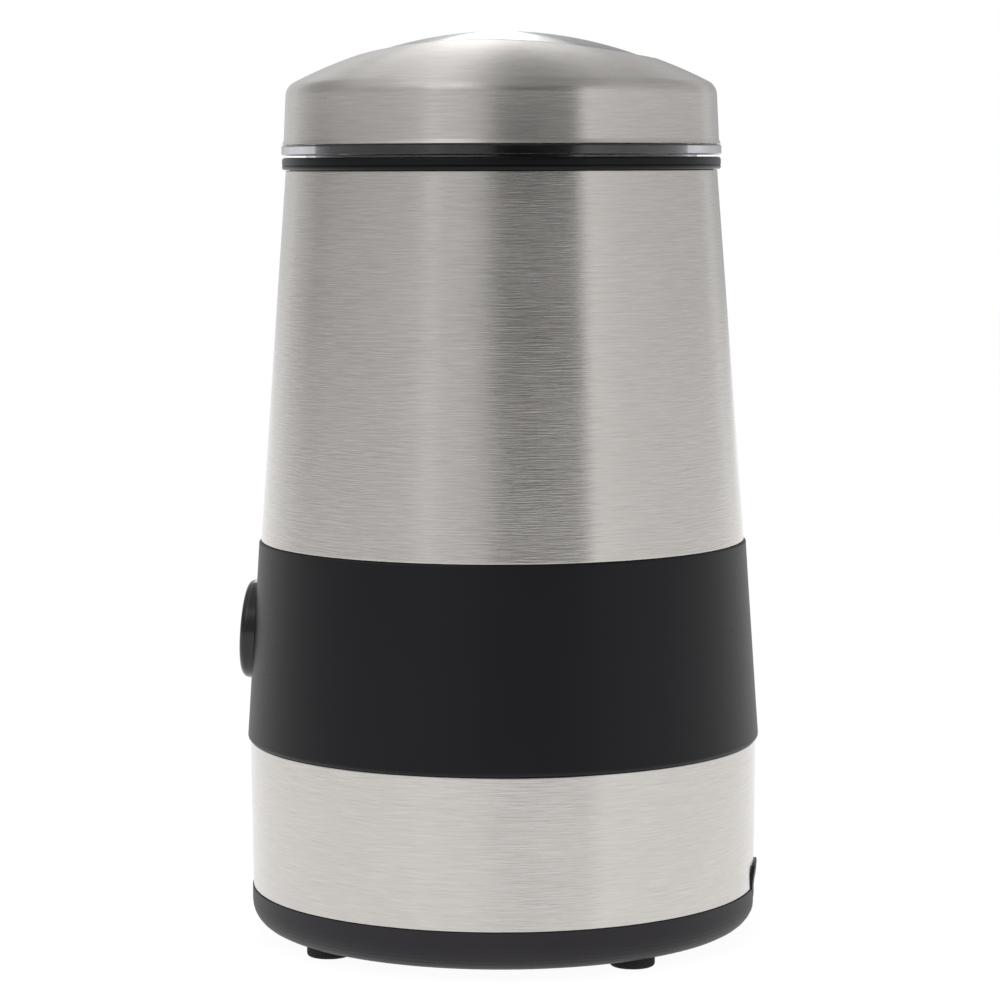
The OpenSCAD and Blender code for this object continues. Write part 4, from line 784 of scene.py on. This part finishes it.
lidSet = {
    # the steel cover: dome, shoulder, side and flared lower edge
    "domeRadius": 92, "shoulderRadius": 43.93, "shoulderRounding": 3.2, "leastRounding": 0.4,
    "sideRadius": 44.35, "lowRadius": 44.7, "flare": 0.9, "flareIn": 0.06, "flareHalf": 0.15,
    "sheet": 0.5, "cutEdge": 0.12,
    # the oval window, whose long side is turned so many degrees from +X
    "windowLong": 31.8, "windowShort": 20.6, "windowTurn": 83,
    "windowFit": 0.2, "windowDome": 82, "windowEdge": 0.25, "windowSeam": 0.01,
    # the clear moulding under the cover, with its rim and skirt
    "coverFit": 0.1, "wall": 2, "rimBevel": 0.3, "ceiling": 2,
    "rimRadius": 44.85, "rimHeight": 2.1, "skirtRadius": 39.9, "skirtWall": 1.8,
    # the lugs: directions and half widths in degrees, the rest in mm
    "lugTurns": (30, 150, 270), "lugHalf": 9, "lugSide": 0.03, "lugHeight": 3, "lugReach": 1.8,
    # how finely both are drawn
    "columns": 288, "domeRows": 22, "shoulderRows": 8, "windowRows": 12,
}


def ovalRadius(turn, grow=0.0):
    # distance from the middle axis to the window's edge, in mm
    along = math.radians(turn - lidSet["windowTurn"])
    longHalf, shortHalf = lidSet["windowLong"] + grow, lidSet["windowShort"] + grow
    return longHalf * shortHalf / math.hypot(shortHalf * math.cos(along), longHalf * math.sin(along))


def domeHeight(radius, inset=0, ball=lidSet["domeRadius"]):
    # height of a ball that touches the lid's top, or of one that lies inset in it
    return lidTop - ball + math.sqrt((ball - inset) ** 2 - radius ** 2)


def domeLine(start, inset):
    # from the shoulder's foot up over the shoulder and in along the dome to the start radius
    ball = lidSet["domeRadius"] - inset
    rounding = max(lidSet["shoulderRounding"] - inset, lidSet["leastRounding"])
    middle = lidSet["shoulderRadius"] - inset - rounding
    rise = math.sqrt((ball - rounding) ** 2 - middle ** 2)
    lean = math.atan2(rise, middle)
    points = []
    for step in range(lidSet["shoulderRows"]):
        turn = lean * step / lidSet["shoulderRows"]
        height = lidTop - lidSet["domeRadius"] + rise + rounding * math.sin(turn)
        points.append(Vector((middle + rounding * math.cos(turn), height)))
    edge = ball * math.cos(lean)
    for step in range(lidSet["domeRows"] + 1):
        radius = edge + (start - edge) * step / lidSet["domeRows"]
        points.append(Vector((radius, domeHeight(radius, inset))))
    return points


def coverOutline(turn):
    # one cut through the cover: lower edge, side, shoulder, dome and back along the inner face
    sheet, edge, start = lidSet["sheet"], lidSet["cutEdge"], ovalRadius(turn)
    low, lowOut, side = coverLow, lidSet["lowRadius"], lidSet["sideRadius"]
    flare, flareHalf = coverLow + lidSet["flare"], lidSet["flareHalf"]
    outer = domeLine(start + edge, 0)
    inner = domeLine(start + edge, sheet)
    foot = [
        (lowOut - edge, low), (lowOut, low + edge), (side + lidSet["flareIn"], flare - flareHalf),
        (side, flare + flareHalf)
    ]
    windowEdge = [(start, domeHeight(start, edge)), (start, domeHeight(start, sheet - edge))]
    inside = [(side - sheet, flare), (lowOut - sheet, low + edge), (lowOut - sheet + edge, low)]
    return [Vector(point) for point in foot + outer + windowEdge + inner[::-1] + inside]


def mouldingOutline(turn):
    # one cut through the clear moulding, from the window's top over rim and skirt to the ceiling's middle
    inset = lidSet["sheet"] + lidSet["coverFit"]
    bevel, soft, ball = lidSet["rimBevel"], lidSet["windowEdge"], lidSet["windowDome"]
    edge = ovalRadius(turn, -lidSet["windowFit"])
    top = domeHeight(edge, 0, ball)
    radii = [edge * step / lidSet["windowRows"] for step in range(lidSet["windowRows"])]
    window = [(radius, domeHeight(radius, 0, ball)) for radius in radii]
    window += [(edge - soft, top), (edge, top - soft)]
    dome = domeLine(edge + lidSet["windowSeam"], inset)
    ceiling = domeLine(0, inset + lidSet["wall"])
    rimHigh = coverLow - lidSet["coverFit"]
    rimLow, rimOut = rimHigh - lidSet["rimHeight"], lidSet["rimRadius"]
    skirtOut, skirtIn = lidSet["skirtRadius"], lidSet["skirtRadius"] - lidSet["skirtWall"]
    inLug = min(abs((turn - lug + 180) % 360 - 180) for lug in lidSet["lugTurns"]) < lidSet["lugHalf"]
    lugOut = skirtOut + lidSet["lugReach"] if inLug else skirtOut
    lugTop, side = skirtLow + lidSet["lugHeight"], lidSet["sideRadius"] - inset
    rim = [
        (side, rimHigh), (rimOut - bevel, rimHigh), (rimOut, rimHigh - bevel), (rimOut, rimLow + bevel),
        (rimOut - bevel, rimLow), (skirtOut, rimLow), (skirtOut, lugTop), (lugOut, lugTop),
        (lugOut, skirtLow), (skirtIn, skirtLow), (skirtIn, rimHigh),
        (side - lidSet["wall"], rimHigh + lidSet["ceiling"])
    ]
    return [Vector(point) for point in window + dome[::-1] + rim + ceiling]


def polarPiece(name, turns, outlineAt, finish, closed):
    # a cut in mm at each turn round the axis, joined to one closed shell
    cuts = [outlineAt(turn) for turn in turns]
    count = len(cuts[0])
    spots = []
    for turn, cut in zip(turns, cuts):
        way = math.radians(turn)
        spots += [(p.x * math.cos(way) * mm, p.x * math.sin(way) * mm, p.y * mm) for p in cut]
    faces = []
    for column in range(len(turns)):
        here, ahead = column * count, (column + 1) % len(turns) * count
        for row in range(count if closed else count - 1):
            nextRow = (row + 1) % count
            faces.append((here + row, here + nextRow, ahead + nextRow, ahead + row))
    mesh = bpy.data.meshes.new(name)
    mesh.from_pydata(spots, [], faces)
    lengths = mesh.attributes.new("alongProfile", "FLOAT", "POINT")
    for column, cut in enumerate(cuts):
        total = 0
        for row, point in enumerate(cut):
            total += (point - cut[max(row - 1, 0)]).length * mm
            lengths.data[column * count + row].value = total
    mesh.materials.append(finishes[finish])
    closeMesh(mesh)
    return linkPiece(name, mesh)


skirtLow, lidTop = heightsOf("lid_dome")
coverLow = heightsOf("lid_cover")[0]
evenTurns = [360 * i / lidSet["columns"] for i in range(lidSet["columns"])]
steelCover = polarPiece("steelCover", evenTurns, coverOutline, "brushedCover", True)
standFor(steelCover, "lid", "lid_cover")
lugTurns = [
    (lug + side * lidSet["lugHalf"] + step) % 360
    for lug in lidSet["lugTurns"] for side in (-1, 1) for step in (-lidSet["lugSide"], lidSet["lugSide"])
]
clearLid = polarPiece("clearLid", sorted(evenTurns + lugTurns), mouldingOutline, "clearSan", False)
standFor(clearLid, "lid", "lid_dome")

sealSet = {
    # the lining's wall is painted shade: a dark silicone sheet inside the skirt where the lid's inside is
    # only in shade
    "inner": 35.1, "gap": 0.1, "shadeLining": 1.1, "hook": 0.9, "hookHeight": 1.5, "hookSlope": 0.6, "edge": 0.3,
    "foot": 2.2, "segments": 192,
}


def sealOutline(values):
    # lip on the bowl's rim and a hook over the skirt's top, plus a black lining up the skirt that is painted
    # shade: a dark sheet standing in for the shade inside the lid, seen through the clear rim
    inner, edge = values["inner"], values["edge"]
    low = heightsOf("lid_seal")[0]
    out = lidSet["skirtRadius"] - lidSet["skirtWall"] - values["gap"]
    inside, hookOut = out - values["shadeLining"], out + values["hook"]
    top = coverLow + values["hookHeight"]
    hookLow = top - values["hookHeight"]
    return roundCorners([
        (inner, low, edge), (out, low, edge), (out, hookLow, 0), (hookOut, hookLow + values["hookSlope"], 0),
        (hookOut, top, edge), (inside, top, edge), (inside, low + values["foot"], edge),
        (inner, low + values["foot"], edge)
    ])


# the seal's lip is real; its lining up the skirt is painted shade
lidSeal = turned("lidSeal", sealOutline(sealSet), "siliconeRubber", sealSet["segments"])
standFor(lidSeal, "lid", "lid_seal")
print("lid made")

# ---- pieces that repeat round the axis


def makeAroundTree():
    # copies the given piece round the middle axis from the first angle on
    tree = bpy.data.node_groups.new("roundTheAxis", "GeometryNodeTree")
    sockets = {"Piece": "Geometry", "Count": "Int", "First Angle": "Float", "Material": "Material"}
    for name, kind in sockets.items():
        tree.interface.new_socket(name, in_out="INPUT", socket_type="NodeSocket" + kind)
    tree.interface.new_socket("Geometry", in_out="OUTPUT", socket_type="NodeSocketGeometry")
    given = addNode(tree, "NodeGroupInput")
    points = addNode(tree, "GeometryNodePoints", {}, {"Count": given.outputs["Count"]})
    index = addNode(tree, "GeometryNodeInputIndex")
    step = addNode(tree, "ShaderNodeMath", {"operation": "DIVIDE", 0: 2 * math.pi},
                   {1: given.outputs["Count"]})
    turn = addNode(tree, "ShaderNodeMath", {"operation": "MULTIPLY_ADD"},
                   {0: index.outputs[0], 1: step.outputs[0], 2: given.outputs["First Angle"]})
    facing = addNode(tree, "ShaderNodeCombineXYZ", {}, {"Z": turn.outputs[0]})
    copies = addNode(tree, "GeometryNodeInstanceOnPoints", {}, {
        "Points": points.outputs[0], "Instance": given.outputs["Piece"], "Rotation": facing.outputs[0]
    })
    real = addNode(tree, "GeometryNodeRealizeInstances", {}, {0: copies.outputs[0]})
    coated = addNode(tree, "GeometryNodeSetMaterial", {},
                     {"Geometry": real.outputs[0], "Material": given.outputs["Material"]})
    addNode(tree, "NodeGroupOutput", {}, {0: coated.outputs[0]})
    return tree


aroundTree = makeAroundTree()


def spreadAround(piece, values, finish):
    # moves one piece out to its circle and height, then repeats it
    piece.data.transform(Matrix.Translation(Vector((values["circle"], 0, values["height"])) * mm))
    applyTree(piece, aroundTree, {
        "Count": values["count"], "First Angle": math.radians(values["first"]), "Material": finishes[finish]
    })
    closeMesh(piece.data)


footSet = {
    # tread
    "radius": 4.5, "edge": 0.6, "hollow": 2.6, "hollowDepth": 0.25, "hollowSlope": 0.4, "hollowEdge": 0.15,
    "treadEdge": 0.1, "top": 2.95, "topEdge": 0.2,
    # stem with its barb
    "stem": 1.75, "barb": 2.3, "barbFoot": 6.1, "barbHeight": 0.2, "barbEdge": 0.05,
    "tip": 1.2, "tipEdge": 0.2,
    # where the feet stand; the first one's direction is in degrees
    "circle": 43.4, "height": 0, "count": 4, "first": 41, "segments": 64,
}


def footOutline(values):
    # moulded foot: shallow hollow below, rounded edge, stem and barb
    high = heightsOf("rubber_feet")[1]
    hollow, hollowDepth = values["hollow"], values["hollowDepth"]
    radius, top, stem, barbFoot = values["radius"], values["top"], values["stem"], values["barbFoot"]
    return roundCorners([
        (0, hollowDepth, 0), (hollow, hollowDepth, values["hollowEdge"]),
        (hollow + values["hollowSlope"], 0, values["treadEdge"]), (radius, 0, values["edge"]),
        (radius, top, values["topEdge"]), (stem, top, 0), (stem, barbFoot, 0),
        (values["barb"], barbFoot + values["barbHeight"], values["barbEdge"]),
        (values["tip"], high, values["tipEdge"]), (0, high, 0)
    ], closed=False)


feet = turned("feet", footOutline(footSet), "footRubber", footSet["segments"])
spreadAround(feet, footSet, "footRubber")
standFor(feet, "body", "rubber_feet")

screwSet = {
    # head, shank and point
    "head": 3, "headHeight": 2, "headRounding": 0.8, "headEdge": 0.1,
    "shank": 1.45, "root": 1.05, "length": 16, "point": 0.4, "pointEdge": 0.1,
    # thread
    "threads": 13, "pitch": 1.0, "neck": 1, "crestRise": 0.35, "threadRise": 0.7, "crestEdge": 0.04,
    # cross recess
    "recessWidth": 0.7, "recessLong": 3.6, "recessDepth": 1.2, "recessTaper": 0.5, "recessStart": 0.2,
    # where the screws sit, with their heads' seats at the height
    "circle": 38, "height": 9.35, "count": 4, "first": 63, "segments": 48,
}


def screwOutline(values):
    # pan head downwards, then a coarse self-tapping thread and its point
    root, headLow, long = values["root"], -values["headHeight"], values["length"]
    thread = []
    for i in range(values["threads"]):
        z = values["neck"] + i * values["pitch"]
        crest = (values["shank"], z + values["crestRise"], values["crestEdge"])
        thread += [(root, z, 0), crest, (root, z + values["threadRise"], 0)]
    return roundCorners([
        (0, headLow, 0), (values["head"], headLow, values["headRounding"]),
        (values["head"], 0, values["headEdge"]), (root, 0, 0), *thread,
        (values["point"], long, values["pointEdge"]), (0, long, 0)
    ], closed=False)


def recessOutline(values):
    # one slot of the cross recess, narrower at its floor
    half, low = values["recessLong"] / 2, -values["headHeight"]
    start, deep = low - values["recessStart"], low + values["recessDepth"]
    return [(-half, start), (half, start), (half - values["recessTaper"], deep),
            (values["recessTaper"] - half, deep)]


baseScrews = turned("baseScrews", screwOutline(screwSet), "zincPlate", screwSet["segments"])
slotHalf = screwSet["recessWidth"] / 2
for turn in (0, 90):
    slot = prism("slotCutter", recessOutline(screwSet), -slotHalf, slotHalf)
    slot.data.transform(Matrix.Rotation(math.radians(turn), 4, "Z"))
    cutAway(baseScrews, slot)
spreadAround(baseScrews, screwSet, "zincPlate")
standFor(baseScrews, "body", "base_screws")
print("feet and base screws made")
